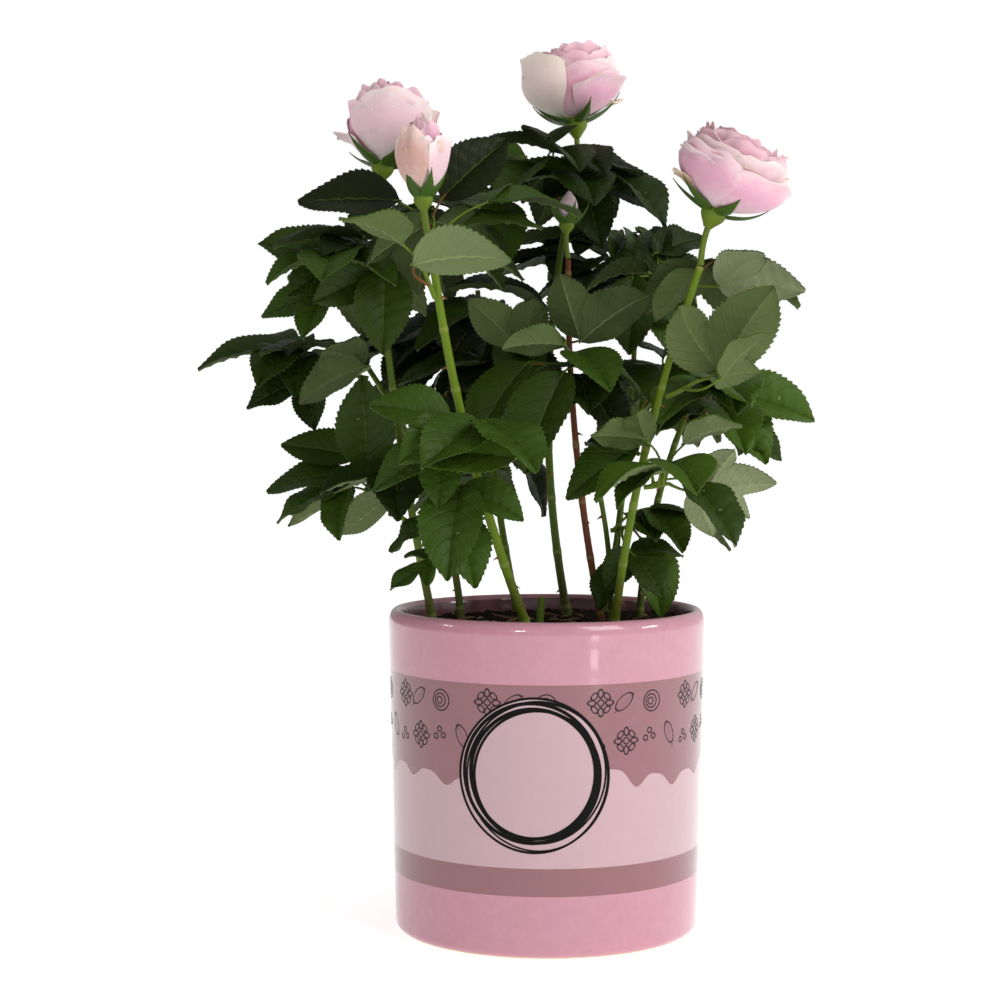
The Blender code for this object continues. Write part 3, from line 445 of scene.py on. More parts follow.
def surface(name, colour, roughness, grain_size, depth, stretch=(1, 1, 1), **inputs):
    """A material with a Principled surface, its tree, its shader and its noise.

    The noise, of a grain size and depth in metres, is its unevenness, which catches the light.
    """
    material = bpy.data.materials.new(name)
    material.use_nodes = True
    tree = material.node_tree
    shader = tree.nodes["Principled BSDF"]
    shader.inputs["Base Color"].default_value = linear(colour)
    shader.inputs["Roughness"].default_value = roughness
    for key, value in inputs.items():
        shader.inputs[key.replace("_", " ")].default_value = value
    place = node(tree, "TexCoord")
    sized = node(tree, "Mapping", Vector=place.outputs["Object"], Scale=stretch)
    grain = node(tree, "TexNoise", Vector=sized.outputs[0], Scale=1 / grain_size, Detail=3.0)
    bump = node(tree, "Bump", Height=grain.outputs["Fac"], Strength=1.0, Distance=depth)
    tree.links.new(bump.outputs[0], shader.inputs["Normal"])
    return material, tree, shader, grain


def roughness_from(tree, shader, grain, low, high):
    """Roughness that varies with a noise between two values."""
    span = node(tree, "MapRange", Value=grain.outputs["Fac"], From_Min=NOISE_SPAN[0],
                From_Max=NOISE_SPAN[1], To_Min=low, To_Max=high)
    tree.links.new(span.outputs[0], shader.inputs["Roughness"])


def coloured_by(tree, shader, factor, first, last):
    """Base colour that goes from one sRGB hex to another with a node's output."""
    mixed = node(tree, "Mix", {"data_type": "RGBA"}, Factor=factor, _6=linear(first),
                 _7=linear(last))
    tree.links.new(mixed.outputs[2], shader.inputs["Base Color"])


def maths(tree, operation, first, second=0.0):
    """The output of a Math node with one or two inputs."""
    return node(tree, "Math", {"operation": operation}, _0=first, _1=second).outputs[0]


def veined(tree, shader, height):
    """Side veins as fine ridges from the leaf's own map of along and across, over the grain."""
    place = node(tree, "UVMap", {"uv_map": "leaf"})
    parts = node(tree, "SeparateXYZ", Vector=place.outputs[0])
    sweep = maths(tree, "POWER", maths(tree, "ABSOLUTE", parts.outputs["Y"]), VEIN_SWEEP)
    slant = maths(tree, "MULTIPLY", sweep, VEIN_SLANT)
    phase = maths(tree, "SUBTRACT", maths(tree, "MULTIPLY", parts.outputs["X"], VEINS), slant)
    wave = maths(tree, "ABSOLUTE", maths(tree, "SINE", maths(tree, "MULTIPLY", phase, math.pi)))
    ridge = node(tree, "MapRange", Value=wave, From_Max=VEIN_SHARE, To_Min=1.0, To_Max=0.0)
    below = shader.inputs["Normal"].links[0].from_socket
    bump = node(tree, "Bump", Height=ridge.outputs[0], Normal=below, Strength=1.0, Distance=height)
    tree.links.new(bump.outputs[0], shader.inputs["Normal"])


def leaf_top(name, colour):
    """The waxy upper side of a rose leaf: a dull sheen, its side veins sunk between swellings."""
    material, tree, shader, grain = surface(name, colour, 0.42, 1.1 * MM, 0.06 * MM, IOR=1.45,
                                            Specular_IOR_Level=0.16)
    roughness_from(tree, shader, grain, 0.36, 0.52)
    veined(tree, shader, -0.14 * MM)
    return material


def leaf_under(name, colour):
    """The matt, paler underside of a rose leaf, with a fine net of raised veins."""
    material, tree, shader, _ = surface(name, colour, 0.65, 0.7 * MM, 0.08 * MM, IOR=1.4,
                                        Specular_IOR_Level=0.12)
    veined(tree, shader, 0.15 * MM)
    return material


def bark(name, colour):
    """Young rose bark: waxy, with a soft sheen broken by faint ribs along the cane."""
    material, tree, shader, grain = surface(name, colour, 0.5, 1.4 * MM, 0.12 * MM, (1, 1, 0.12),
                                            IOR=1.45, Specular_IOR_Level=0.22)
    roughness_from(tree, shader, grain, 0.4, 0.62)
    return material


def petal(name, colour):
    """A rose petal: soft and velvety, lit through a little, with a fine grain."""
    return surface(name, colour, 0.62, 0.8 * MM, 0.07 * MM, IOR=1.35, Specular_IOR_Level=0.3,
                   Sheen_Weight=0.1, Subsurface_Weight=0.25, Subsurface_Radius=(1.0, 0.45, 0.4),
                   Subsurface_Scale=0.8 * MM)[0]


def glaze(name, colour, other, mottle=0.5):
    """Thick glaze fired on ceramic: glassy, with a slight orange peel and soft mottling."""
    material, tree, shader, grain = surface(name, colour, 0.2, 8 * MM, 0.03 * MM, Coat_Weight=0.6,
                                            Coat_Roughness=0.02, Specular_IOR_Level=0.3)
    place = node(tree, "TexCoord")
    cloud = node(tree, "TexNoise", Vector=place.outputs["Object"], Scale=1 / (6 * MM), Detail=6.0,
                 Roughness=0.7)
    fade = node(tree, "MapRange", Value=cloud.outputs["Fac"], From_Min=MOTTLE_SPAN[0],
                From_Max=MOTTLE_SPAN[1], To_Max=mottle)
    coloured_by(tree, shader, fade.outputs[0], colour, other)
    roughness_from(tree, shader, grain, 0.14, 0.26)
    return material


def moist_soil():
    """Moist peat: brown crumbs, painted shade nearly black in their hollows, hardly any shine."""
    material, tree, shader, grain = surface("moist potting soil", "#2a1f18", 0.95, 0.7 * MM,
                                            0.5 * MM, Specular_IOR_Level=0.1)
    # The bump's own noise: its hollows get painted shade, its crumbs the soil's brown.
    coloured_by(tree, shader, grain.outputs["Fac"], "#0d0907", "#33251c")
    return material


def bare_clay():
    """Unglazed ceramic where the pot stands: rough and chalky, it takes no highlight."""
    return surface("unglazed ceramic", "#cdb59b", 0.85, 1.2 * MM, 0.1 * MM)[0]


def ink(name, colour, shine):
    """Printed ink under the glaze: dull, so that it stays dark under the lamps."""
    return surface(name, colour, 0.4, 1.1 * MM, 0.02 * MM, Specular_IOR_Level=shine)[0]


def paper():
    """White studio paper: matt, and glowing a little so that the shadows on it stay faint."""
    return surface("white studio paper", "#f7f7f6", 0.9, 16 * MM, 0.05 * MM,
                   Emission_Color=linear("#ffffff"), Emission_Strength=0.65)[0]


# ---- meshes from arrays ----

class Heap:
    """Gathers many small closed meshes of one kind, each face with its material's number."""

    def __init__(self):
        self.points, self.faces, self.slots, self.maps, self.count = [], [], [], [], 0

    def add(self, points, faces, slots, own_map=None):
        """points: (n, 3). faces: (m, 4), a triangle repeating its last corner. slots: (m,)."""
        a, b, c, d = (points[faces[:, i]] for i in range(4))
        volume = np.einsum("ij,ij->", a, np.cross(b, c)) + np.einsum("ij,ij->", a, np.cross(c, d))
        if volume < 0:
            last = np.where(faces[:, 2] == faces[:, 3], faces[:, 0], faces[:, 3])
            faces = np.stack([faces[:, 2], faces[:, 1], faces[:, 0], last], -1)
        self.points.append(points)
        self.faces.append(faces + self.count)
        self.slots.append(slots)
        if own_map is not None:
            self.maps.append(own_map)
        self.count += len(points)

    def add_sheet(self, above, below, looks, own_map=None):
        """A thin closed sheet from the point grids of its sides; looks: above, below and rim."""
        parts = sheet_faces(*above.shape[:2])
        points = np.concatenate([above.reshape(-1, 3), below.reshape(-1, 3)])
        slots = [np.broadcast_to(look, len(part)) for look, part in zip(looks, parts)]
        self.add(points, np.concatenate(parts), np.concatenate(slots), own_map)

    def add_tube(self, points, radii, sides, looks):
        """A round tube; looks: one material's number, or one for each stretch between points."""
        made, faces = tube_mesh(points, radii, sides)
        if isinstance(looks, int):
            slots = np.full(len(faces), looks)
        else:
            slots = np.repeat(list(looks) + [looks[0], looks[-1]], sides)
        self.add(made, faces, slots)

    def piece(self, name, materials, sharp):
        """One smooth-shaded object of all that was added."""
        faces = np.concatenate(self.faces)
        real = [[a, b, c] if c == d else [a, b, c, d] for a, b, c, d in faces.tolist()]
        mesh = bpy.data.meshes.new(name)
        mesh.from_pydata(np.concatenate(self.points).tolist(), [], real)
        for material in materials:
            mesh.materials.append(material)
        slots = np.concatenate(self.slots).astype(np.int32)
        mesh.polygons.foreach_set("material_index", slots)
        if self.maps:
            corners = np.zeros(len(mesh.loops), np.int32)
            mesh.loops.foreach_get("vertex_index", corners)
            places = np.concatenate(self.maps)[corners].ravel().astype(np.float32)
            mesh.uv_layers.new(name="leaf").data.foreach_set("uv", places)
        mesh.shade_smooth()
        mesh.set_sharp_from_angle(angle=math.radians(sharp))
        obj = bpy.data.objects.new(name, mesh)
        bpy.context.scene.collection.objects.link(obj)
        return obj


def sheet_faces(rows, columns):
    """Faces of a thin closed sheet: those above, those below, and its rim.

    The upper side's rows x columns points come first, then as many of the underside.
    """
    number = np.arange(rows * columns).reshape(rows, columns)
    shift = rows * columns
    corners = (number[:-1, :-1], number[1:, :-1], number[1:, 1:], number[:-1, 1:])
    above = np.stack(corners, -1).reshape(-1, 4)
    loop = np.concatenate([number[0, :-1], number[:-1, -1], number[-1, :0:-1], number[:0:-1, 0]])
    after = np.roll(loop, -1)
    rim = np.stack([loop, after, after + shift, loop + shift], -1)
    return above, above[:, ::-1] + shift, rim


def tube_mesh(points, radii, sides):
    """Points and faces of a round tube with closed ends through a line of points."""
    line = np.array([tuple(p) for p in points])
    ways = np.gradient(line, axis=0)
    ways /= np.linalg.norm(ways, axis=1)[:, None]
    first = np.cross(ways[0], (0.31, 0.87, 0.38))   # any way that no tube runs along
    turn = np.linspace(0, math.tau, sides, endpoint=False)[:, None]
    rings = []
    for spot, way, radius in zip(line, ways, radii):
        first = first - way * first.dot(way)
        first /= np.linalg.norm(first)
        second = np.cross(way, first)
        rings.append(spot + radius * (np.cos(turn) * first + np.sin(turn) * second))
    count = len(line)
    made = np.concatenate(rings + [line[:1], line[-1:]])
    base = np.arange(count * sides).reshape(count, sides)
    side = np.roll(base, -1, axis=1)
    walls = np.stack([base[:-1], side[:-1], side[1:], base[1:]], -1).reshape(-1, 4)
    foot, tip = np.full(sides, count * sides), np.full(sides, count * sides + 1)
    low = np.stack([side[0], base[0], foot, foot], -1)
    high = np.stack([base[-1], side[-1], tip, tip], -1)
    return made, np.concatenate([walls, low, high])


def smooth_line(points, steps):
    """More points along a bent line of three, rounded at its middle."""
    a, b, c = points
    control = b * 2 - (a + c) * 0.5
    line = []
    for step in range(steps + 1):
        t = step / steps
        line.append(a * (1 - t) ** 2 + control * 2 * t * (1 - t) + c * t * t)
    return line


# ---- leaves ----

TEETH = 17
COLUMNS = (-1.0, -0.74, -0.4, -0.028, 0.0, 0.028, 0.4, 0.74, 1.0)
LEAF_THIN = 0.5 * MM
# The point is drawn out from this place along, and narrowed by this share.
POINT_FROM = 0.62
POINT_DRAWN = 0.28
# A tooth's tip comes this share of the way along it; its notch is this share of the width.
TOOTH_TIP = 0.72
NOTCH_WIDTH = 0.93
# Swellings between the veins, as a share of the leaflet's length, and the dip along the midrib.
QUILT_DEPTH = 0.024
RIB_WIDTH = 0.06
RIB_DIP = 0.9
# What a leaflet draws: its margin's depth of waves in millimetres, their phase and number, and
# the bend of the whole in millimetres.
LEAFLET_SPANS = ((0.3, 1.1), (0, math.tau), (1.2, 2.6), (-0.8, 0.8))

# Dark to light: dealt by a mass's place, the darker are painted shade and the lighter painted
# light.
TOP_SHADES = ("#182006", "#1e2d07", "#293c0b", "#334b10", "#3e5815")
UNDER_SHADES = ("#424e2b", "#56643a", "#6b784f", "#868f6a")
TOP_RIB, UNDER_RIBS = "#3c5219", ("#66734a", "#87935f")
SLOTS = {"top": 0, "under": 5, "top rib": 9, "under rib": 10}


def fine_outline(along):
    """The leaflet's outline drawn finer, with a longer point."""
    taper = np.clip((along - POINT_FROM) / (1 - POINT_FROM), 0, 1)
    return leaf_outline(along) * (1 - POINT_DRAWN * taper ** 2)


def leaf_grid():
    """Places along and across, row by row; at the edge they are its teeth's notches and tips."""
    rows = [0.0]
    for tooth in range(TEETH):
        rows += [(tooth + TOOTH_TIP) / TEETH, (tooth + 1) / TEETH]
    along, across = np.meshgrid(rows, COLUMNS, indexing="ij")
    tips = np.zeros(along.shape, bool)
    tips[1::2] = True
    edge = np.abs(across) > 0.99
    half = fine_outline(along) * across
    half = np.where(edge & ~tips, half * NOTCH_WIDTH, half)
    shifted = np.where(edge & tips, along + 0.01, along)
    return shifted, half, along, across


LEAF_ALONG, LEAF_HALF, LEAF_ROWS, LEAF_ACROSS = leaf_grid()
LEAF_MAP = np.tile(np.stack([LEAF_ROWS, LEAF_ACROSS], -1).reshape(-1, 2), (2, 1))
STRIPS = len(COLUMNS) - 1
LEAF_IS_RIB = np.isin(np.arange((len(LEAF_ROWS) - 1) * STRIPS) % STRIPS,
                      (STRIPS // 2 - 1, STRIPS // 2))


def quilting(along, across, depth):
    """How far the blade bulges between its side veins and dips at the midrib."""
    phase = along * VEINS - VEIN_SLANT * np.abs(across) ** VEIN_SWEEP
    swell = np.abs(np.sin(math.pi * phase)) ** 0.8
    swell = swell * (1 - across ** 4) * np.sin(math.pi * np.clip(along, 0, 1)) ** 0.5
    return depth * (swell - RIB_DIP * np.exp(-(across / RIB_WIDTH) ** 2))


def add_leaflet(heap, blade, look, rng):
    """One leaflet: teeth, quilting between the veins, wavy margin, upper and lower side."""
    top, under = look
    depth, phase, waves, bend = (rng.uniform(*span) for span in LEAFLET_SPANS)
    phase = math.tau * waves * LEAF_ROWS + phase + 0.8 * np.sign(LEAF_ACROSS)
    margin = depth * MM * LEAF_ACROSS ** 2 * np.sin(phase)
    form = (quilting(LEAF_ROWS, LEAF_ACROSS, QUILT_DEPTH * blade.length) + margin
            + bend * MM * np.sin(math.pi * LEAF_ROWS))
    above = blade_points(blade, LEAF_ALONG, LEAF_HALF, form + LEAF_THIN / 2)
    below = blade_points(blade, LEAF_ALONG, LEAF_HALF, form - LEAF_THIN / 2)
    pale = under > SLOTS["under"] + 1
    tops = np.where(LEAF_IS_RIB, SLOTS["top rib"], top)
    unders = np.where(LEAF_IS_RIB, SLOTS["under rib"] + pale, under)
    heap.add_sheet(above, below, (tops, unders, top), LEAF_MAP)


# ---- which leaves a mass has ----

# Added leaves: their seed, the tries and the greatest number for each leaf that the rule gives the
# solid, the inner part of the mass's space that they keep to, as the square of a share of its
# radii, and the rows of a leaflet where its room is tested.
ADDED_SEED = 200
ADDED_TRIES = 50
ADDED_SHARE = 1.6
ADDED_ROOM = 0.75
ROOM_ROWS = (0.12, 0.35, 0.6, 0.85, 1.0)


def solid_tree(name):
    """A search tree of one solid's faces."""
    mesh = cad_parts[name].data
    corners = [vertex.co.copy() for vertex in mesh.vertices]
    return BVHTree.FromPolygons(corners, [tuple(face.vertices) for face in mesh.polygons])


def held_by(tree, blade):
    """Whether a mass's solid has this leaflet: its tip and two points of its edge lie on it."""
    spots = plain_points(blade, (1.0, 0.75, 0.75), (0.0, 1.0, -1.0))
    return all(tree.find_nearest(spot)[3] <= FOUND_WITHIN for spot in spots)


def held_part(tree, route, blades):
    """A leaf with the leaflets that its mass's solid has."""
    return route, [blade for blade in blades if held_by(tree, blade)]


def leaves_of(name):
    """The leaves of one mass, grown by its rule, with the leaflets that its solid has."""
    shoot, tree = SHOOTS[name], solid_tree(name)
    rng = random.Random(shoot.seed)
    grown = [grown_on(shoot, leaf, rng) for leaf in shoot.leaves]
    kept = [held_part(tree, *leaf) for leaf in grown if held_by(tree, leaf[1][0])]
    rng = random.Random(shoot.seed + RULE_SEED)
    wanted = len(kept) + shoot.fill
    for index in range(shoot.fill * RULE_TRIES):
        if len(kept) == wanted:
            break
        route, blades = grown_on(shoot, rule_leaf(shoot, index, rng), rng)
        if held_by(tree, blades[0]):
            kept.append(held_part(tree, route, blades))
    return kept


def in_space(shoot, spot):
    """Whether a point lies in the inner part of a mass's space."""
    shares = ((a / MM - b) / c for a, b, c in zip(spot, shoot.centre, shoot.radii))
    return sum(share ** 2 for share in shares) <= ADDED_ROOM


def has_room(shoot, blade, trees, placed):
    """Whether a leaflet stays in its mass's space and crosses no solid and no added leaflet."""
    wider = blade._replace(length=blade.length + CLEARANCE, width=blade.width + 2 * CLEARANCE)
    spots = plain_points(wider, *np.meshgrid(ROOM_ROWS, (-1.0, 0.0, 1.0), indexing="ij"))
    if not all(in_space(shoot, spot) for spot in spots):
        return False
    faces = [(i, i + 1, i + 4, i + 3) for i in range(len(spots) - 3) if i % 3 < 2]
    sheet = BVHTree.FromPolygons(spots, faces)
    if any(sheet.overlap(tree) for tree in trees + placed):
        return False
    placed.append(sheet)
    return True


def added_leaves(name, trees, placed):
    """More leaves by the same rule, in the room that the solids leave inside a mass's space."""
    shoot, made = SHOOTS[name], []
    rng = random.Random(shoot.seed + ADDED_SEED)
    for index in range(shoot.fill * ADDED_TRIES):
        route, blades = grown_on(shoot, rule_leaf(shoot, index, rng), rng)
        if len(made) < ADDED_SHARE * shoot.fill and has_room(shoot, blades[0], trees, placed):
            pairs = [blade for blade in blades[1:] if has_room(shoot, blade, trees, placed)]
            made.append((route, blades[:1] + pairs))
    return made


# ---- twigs and foliage pieces ----

LEAF_PIECES = {
    "foliage_front": ("leaves_front", "leaves_front_middle", "leaves_middle", "leaves_centre",
                      "leaves_foot_left", "leaves_foot_right", "leaves_low_right",
                      "leaves_right", "leaves_bloom_right"),
    "foliage_left": ("leaves_bud", "leaves_upper_left", "leaves_left", "leaves_low_left",
                     "leaves_behind_bud"),
    "foliage_right": ("leaves_far_right", "leaves_upper_right", "leaves_top",
                      "leaves_behind_top"),
    "foliage_back": ("leaves_behind_left", "leaves_behind_low", "leaves_behind_right",
                     "leaves_inner", "leaves_inner_low"),
}
INNER = ("leaves_inner", "leaves_inner_low", "leaves_behind_left", "leaves_behind_low",
         "leaves_behind_bud", "leaves_behind_right", "leaves_behind_top")
FILLED = INNER + ("leaves_centre", "leaves_middle", "leaves_bud", "leaves_top",
                  "leaves_front_middle", "leaves_upper_right", "leaves_upper_left")
# Shades dealt out to a spray by its mass, upper sides and then undersides, each as often as it is
# to come up: darker inside and behind as painted shade, lighter at the right, at the front and low
# on the left as painted light, among shades that differ at random.
SPRAY_SHADES_PAINTED_BY_PLACE = (
    (INNER, (0, 0, 1, 1, 2), (0, 0, 1)),
    (("leaves_right", "leaves_low_right", "leaves_far_right", "leaves_bloom_right"),
     (2, 3, 4, 4), (1, 2, 3, 3)),
    (("leaves_front", "leaves_front_middle", "leaves_foot_left", "leaves_foot_right"),
     (2, 3, 3, 4), (1, 1, 2)),
    (("leaves_low_left",), (1, 2, 2, 3), (2, 3, 3)),
)
OTHER_SHADES = ((0, 1, 1, 2, 3), (0, 0, 1))

# Barks of the twigs, and the stretches that a shoot and a leaf's stalk are drawn in.
GREEN_STALK, RED_STALK, DRY_STALK = range(3)
SHOOT_LINE, STALK_LINE = 6, 8

# On the soil: a cut stub beside the front cane, from its foot up in millimetres, and dry bits of
# stalk in a ring; the soil rises to the right by so many millimetres a metre.
STUB = ((-3.2, -13, 126), (-2.9, -13, 134), (-2.1, -13, 142.5))
STUB_RADIUS = 1.7 * MM
LITTER = 46
LITTER_RING = (8, 58)
SOIL_SLOPE = 30


def dealt(name, rng):
    """The shades of one spray, as the slots of its upper side and underside."""
    tops, unders = next((looks for masses, *looks in SPRAY_SHADES_PAINTED_BY_PLACE if name in masses), OTHER_SHADES)
    return SLOTS["top"] + rng.choice(tops), SLOTS["under"] + rng.choice(unders)


def add_twigs(heap, name, leaves, rng):
    """The side shoot of a mass and the stalks of its leaves, thickened where they part."""
    radii = [SHOOT_RADIUS * (1 - 0.04 * i) for i in range(SHOOT_LINE + 1)]
    heap.add_tube(smooth_line(shoot_route(SHOOTS[name]), SHOOT_LINE), radii, 8, GREEN_STALK)
    thinning = [STALK_RADIUS * (1.5 - 0.9 * (i / STALK_LINE) ** 0.4)
                for i in range(STALK_LINE + 1)]
    for route, blades in leaves:
        look = rng.choice((GREEN_STALK, GREEN_STALK, RED_STALK))
        heap.add_tube(smooth_line(route, STALK_LINE), thinning, 6, look)
        for blade in blades:
            joint = [blade.base - blade.forward * 0.6 * MM, blade.base + blade.forward * 2.2 * MM]
            heap.add_tube(joint, [0.55 * MM, 0.4 * MM], 5, GREEN_STALK)


def add_litter(heap):
    """A cut stub beside the front cane, and dry bits of stalk lying on the soil."""
    stub = [Vector(spot) * MM for spot in STUB]
    radii = [STUB_RADIUS * (1.1 - 0.03 * i) for i in range(SHOOT_LINE + 1)]
    heap.add_tube(smooth_line(stub, SHOOT_LINE), radii, 12, GREEN_STALK)
    rng = random.Random("litter")
    for _ in range(LITTER):
        spot = heading(rng.uniform(0, 360), 0) * rng.uniform(*LITTER_RING) * MM
        spot += UP * (SOIL_TOP + (0.7 + SOIL_SLOPE * max(0.0, spot.x)) * MM)
        way = heading(rng.uniform(0, 360), rng.uniform(-3, 16)) * rng.uniform(1.5, 5.5) * MM
        heap.add_tube([spot - way, spot + UP * 0.3 * MM, spot + way],
                      [0.25 * MM, 0.5 * MM, 0.3 * MM], 6, DRY_STALK)


def leaf_materials():
    """The materials of all leaves, in the order of SLOTS."""
    made = [leaf_top("waxy leaf upper side " + str(i + 1), shade)
            for i, shade in enumerate(TOP_SHADES)]
    made += [leaf_under("matt leaf underside " + str(i + 1), shade)
             for i, shade in enumerate(UNDER_SHADES)]
    return made + [leaf_top("leaf midrib above", TOP_RIB),
                   leaf_under("dark leaf midrib below", UNDER_RIBS[0]),
                   leaf_under("pale leaf midrib below", UNDER_RIBS[1])]


def make_foliage():
    """The foliage as four pieces, and all its twigs as one more."""
    solids = [solid_tree(name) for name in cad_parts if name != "pot"]
    placed = []
    materials = leaf_materials()
    twigs = Heap()
    for piece, masses in LEAF_PIECES.items():
        heap = Heap()
        for name in masses:
            leaves = leaves_of(name)
            if name in FILLED:
                leaves += added_leaves(name, solids, placed)
            rng = random.Random("looks of " + name)
            for _, blades in leaves:
                look = dealt(name, rng)
                for blade in blades:
                    add_leaflet(heap, blade, look, rng)
            add_twigs(twigs, name, leaves, rng)
        foliage = heap.piece(piece, materials, 50)
        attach(foliage, "root")
        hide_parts(*masses)
    add_litter(twigs)
    barks = [bark("green leaf stalk", "#5d7420"), bark("reddish leaf stalk", "#6b4a26"),
             bark("dry stalk", "#7d6142")]
    stalks = twigs.piece("twigs", barks, 60)
    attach(stalks, "root")


# ---- canes ----

BARK, PRICKLE, SCAR, OLD_BARK = range(4)
CANE_STEP = 1.6
CANE_SIDES = 14
# Share of the solid's radius, so that nodes and ribs stay close to it.
CANE_SHARE = 0.94
FOOT_SHARE = 0.14
# Above each node, in millimetres: where it is thickest and how far that reaches, as a share of the
# radius too, and between which heights its scar lies.
NODE_AT, NODE_REACH, NODE_SWELL = 4, 1.6, 0.13
SCAR_FROM, SCAR_TO = 2.8, 4.6
RIB_RATE, RIB_SWELL = 1.7, 0.02
# Prickles: the lowest's height over the soil, their spacing, and the bare part under the tip.
PRICKLE_FROM, PRICKLE_EVERY, PRICKLE_BARE = 12, 24, 10


def cane_points(limb):
    """Centres, radii and looks up a cane, swollen and scarred at its nodes, cut level below."""
    cut = SOIL_TOP / MM + CLEARANCE / MM
    steps = round((limb.tip[2] - cut) / CANE_STEP)
    line, radii, looks = [], [], []
    for step in range(steps + 1):
        height = cut + (limb.tip[2] - cut) * step / steps
        place = (height - cut) % NODE_SPACING
        plain = OLD_BARK if step < FOOT_SHARE * steps else BARK
        looks.append(SCAR if SCAR_FROM < place < SCAR_TO else plain)
        swell = 1 + NODE_SWELL * math.exp(-((place - NODE_AT) / NODE_REACH) ** 2)
        ribs = 1 + RIB_SWELL * math.sin(height * RIB_RATE + limb.tip[0])
        line.append(limb_point(limb, height))
        radii.append(limb_radius(limb, height) * CANE_SHARE * swell * ribs)
    return line, radii, looks[:-1]


def make_cane(name):
    """A cane as a round tube with nodes, prickles and faint ribs along its bark."""
    limb = LIMBS[name]
    rng = random.Random("cane " + name)
    line, radii, looks = cane_points(limb)
    heap = Heap()
    heap.add_tube(line, radii, CANE_SIDES, looks)
    height = SOIL_TOP / MM + PRICKLE_FROM
    while height < limb.tip[2] - PRICKLE_BARE:
        spot = limb_point(limb, height)
        way = heading(rng.uniform(0, 360), rng.uniform(-25, 5))
        thick = limb_radius(limb, height)
        prickle = [spot + way * thick * 0.6, spot + way * (thick + 0.9 * MM),
                   spot + way * (thick + 2.3 * MM) - UP * 0.5 * MM]
        heap.add_tube(prickle, [0.9 * MM, 0.42 * MM, 0.05 * MM], 6, PRICKLE)
        height += rng.uniform(0.5, 1.5) * PRICKLE_EVERY
    barks = [bark("bark of " + name, limb.colour), bark("prickle", "#7a5433"),
             bark("node of " + name, between(limb.colour, "#8f8f58", 0.45)),
             bark("older bark of " + name, between(limb.colour, "#5a4a28", 0.35))]
    cane = heap.piece(name + "_bark", barks, 45)
    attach(cane, "root")
    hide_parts(name)


# ---- blooms ----

Petal = namedtuple("Petal", "azimuth spread belly rim height flare ruffle shade")

PETAL_ROWS, PETAL_COLUMNS = 16, 17
PETAL_THIN = 0.45 * MM
# Looks of the petals: the shade of the heart of a petal and that of its claw and rim.
PETAL_LOOKS = (
    ("cream", "#f6dfd8", "#f6e9de"), ("pale", "#e3c0c9", "#eed9d8"), ("pink", "#dfa8bd", "#ebcbd2"),
    ("rose", "#d699af", "#e4bac6"), ("browned", "#b0866a", "#dcc3a6"),
    ("peach", "#d3a79d", "#e9cec5"),
)
CREAM, PALE, PINK, ROSE, TAN, PEACH = range(6)
PETAL_STEPS = 5

# Single outer petals of each bloom: azimuth from the front towards the right and half spread in
# degrees, then shares of the head's radius at belly and rim and of its height, the outward roll
# of the rim and the depth of its ruffles in millimetres, and the shade.
OUTER_PETALS = {
    "bloom_right": (
        Petal(-80, 26, 1.05, 1.16, 0.38, 3.2, 2.6, TAN),
        Petal(-36, 44, 1.05, 1.06, 0.8, 2.6, 1.2, PINK),
        Petal(38, 50, 1.05, 1.06, 0.72, 3.2, 1.2, PINK),
    ),
    "bloom_top": (
        Petal(-58, 50, 1.07, 1.1, 0.97, 2.6, 0.9, CREAM),
        Petal(42, 44, 1.06, 1.04, 0.6, 2.4, 2.0, PINK),
        Petal(96, 30, 1.06, 1.14, 0.34, 3.0, 2.2, TAN),
    ),
    "bloom_left": (
        Petal(4, 62, 1.07, 1.12, 0.92, 1.6, 0.9, PALE),
        Petal(-84, 30, 1.08, 1.4, 0.42, 5.0, 2.0, PALE),
        Petal(92, 44, 1.07, 1.12, 0.84, 2.2, 1.4, PEACH),
    ),
    "bud_front": (
        Petal(-34, 52, 1.09, 1.0, 0.86, 1.6, 1.4, PEACH),
        Petal(66, 50, 1.08, 0.98, 0.76, 2.0, 1.6, PALE),
        Petal(190, 74, 1.08, 0.96, 0.95, 1.2, 1.2, PINK),
    ),
    "bud_middle": (
        Petal(0, 85, 0.9, 0.3, 1.0, 0.1, 0.2, PALE),
        Petal(120, 85, 0.9, 0.3, 1.0, 0.1, 0.2, PINK),
        Petal(240, 85, 0.9, 0.3, 1.0, 0.1, 0.2, PALE),
    ),
}
# Whorls of an open bloom and of a bud, outer ones first: how many petals, shares of belly, rim
# and height, the roll of the rim and the depth of the ruffles in millimetres.
OPEN_WHORLS = (
    (5, 0.98, 1.02, 0.74, 2.6, 1.1), (5, 0.93, 0.97, 0.86, 2.4, 1.2),
    (6, 0.86, 0.9, 0.95, 2.0, 1.3), (6, 0.76, 0.8, 1.0, 1.7, 1.3),
    (6, 0.65, 0.66, 1.02, 1.4, 1.2), (5, 0.52, 0.51, 1.0, 1.1, 1.0),
    (5, 0.37, 0.36, 0.94, 0.8, 0.8), (3, 0.22, 0.2, 0.9, 0.5, 0.6),
    (2, 0.1, 0.08, 0.86, 0.2, 0.4),
)
BUD_WHORLS = (
    (4, 0.96, 0.86, 0.74, 1.8, 1.6), (4, 0.84, 0.76, 0.88, 1.5, 1.6),
    (4, 0.66, 0.58, 0.98, 1.2, 1.4), (3, 0.42, 0.3, 1.02, 0.6, 0.9),
    (2, 0.2, 0.1, 1.04, 0.2, 0.5),
)
OPEN_SHADES = ((PINK, PINK, PALE), (PINK, PINK, PALE), (PINK, ROSE, PINK), (ROSE, PINK, ROSE))
BUD_SHADES = ((PEACH, PALE, PINK), (PEACH, ROSE, PALE))
EDGE_SHADES = (CREAM, PALE, CREAM, PALE, TAN)
# A petal of a whorl reaches this many degrees past its share of the circle on either side.
OVERLAP = 16
OPEN_FROM = 0.5
SCALE_RADIUS = 22

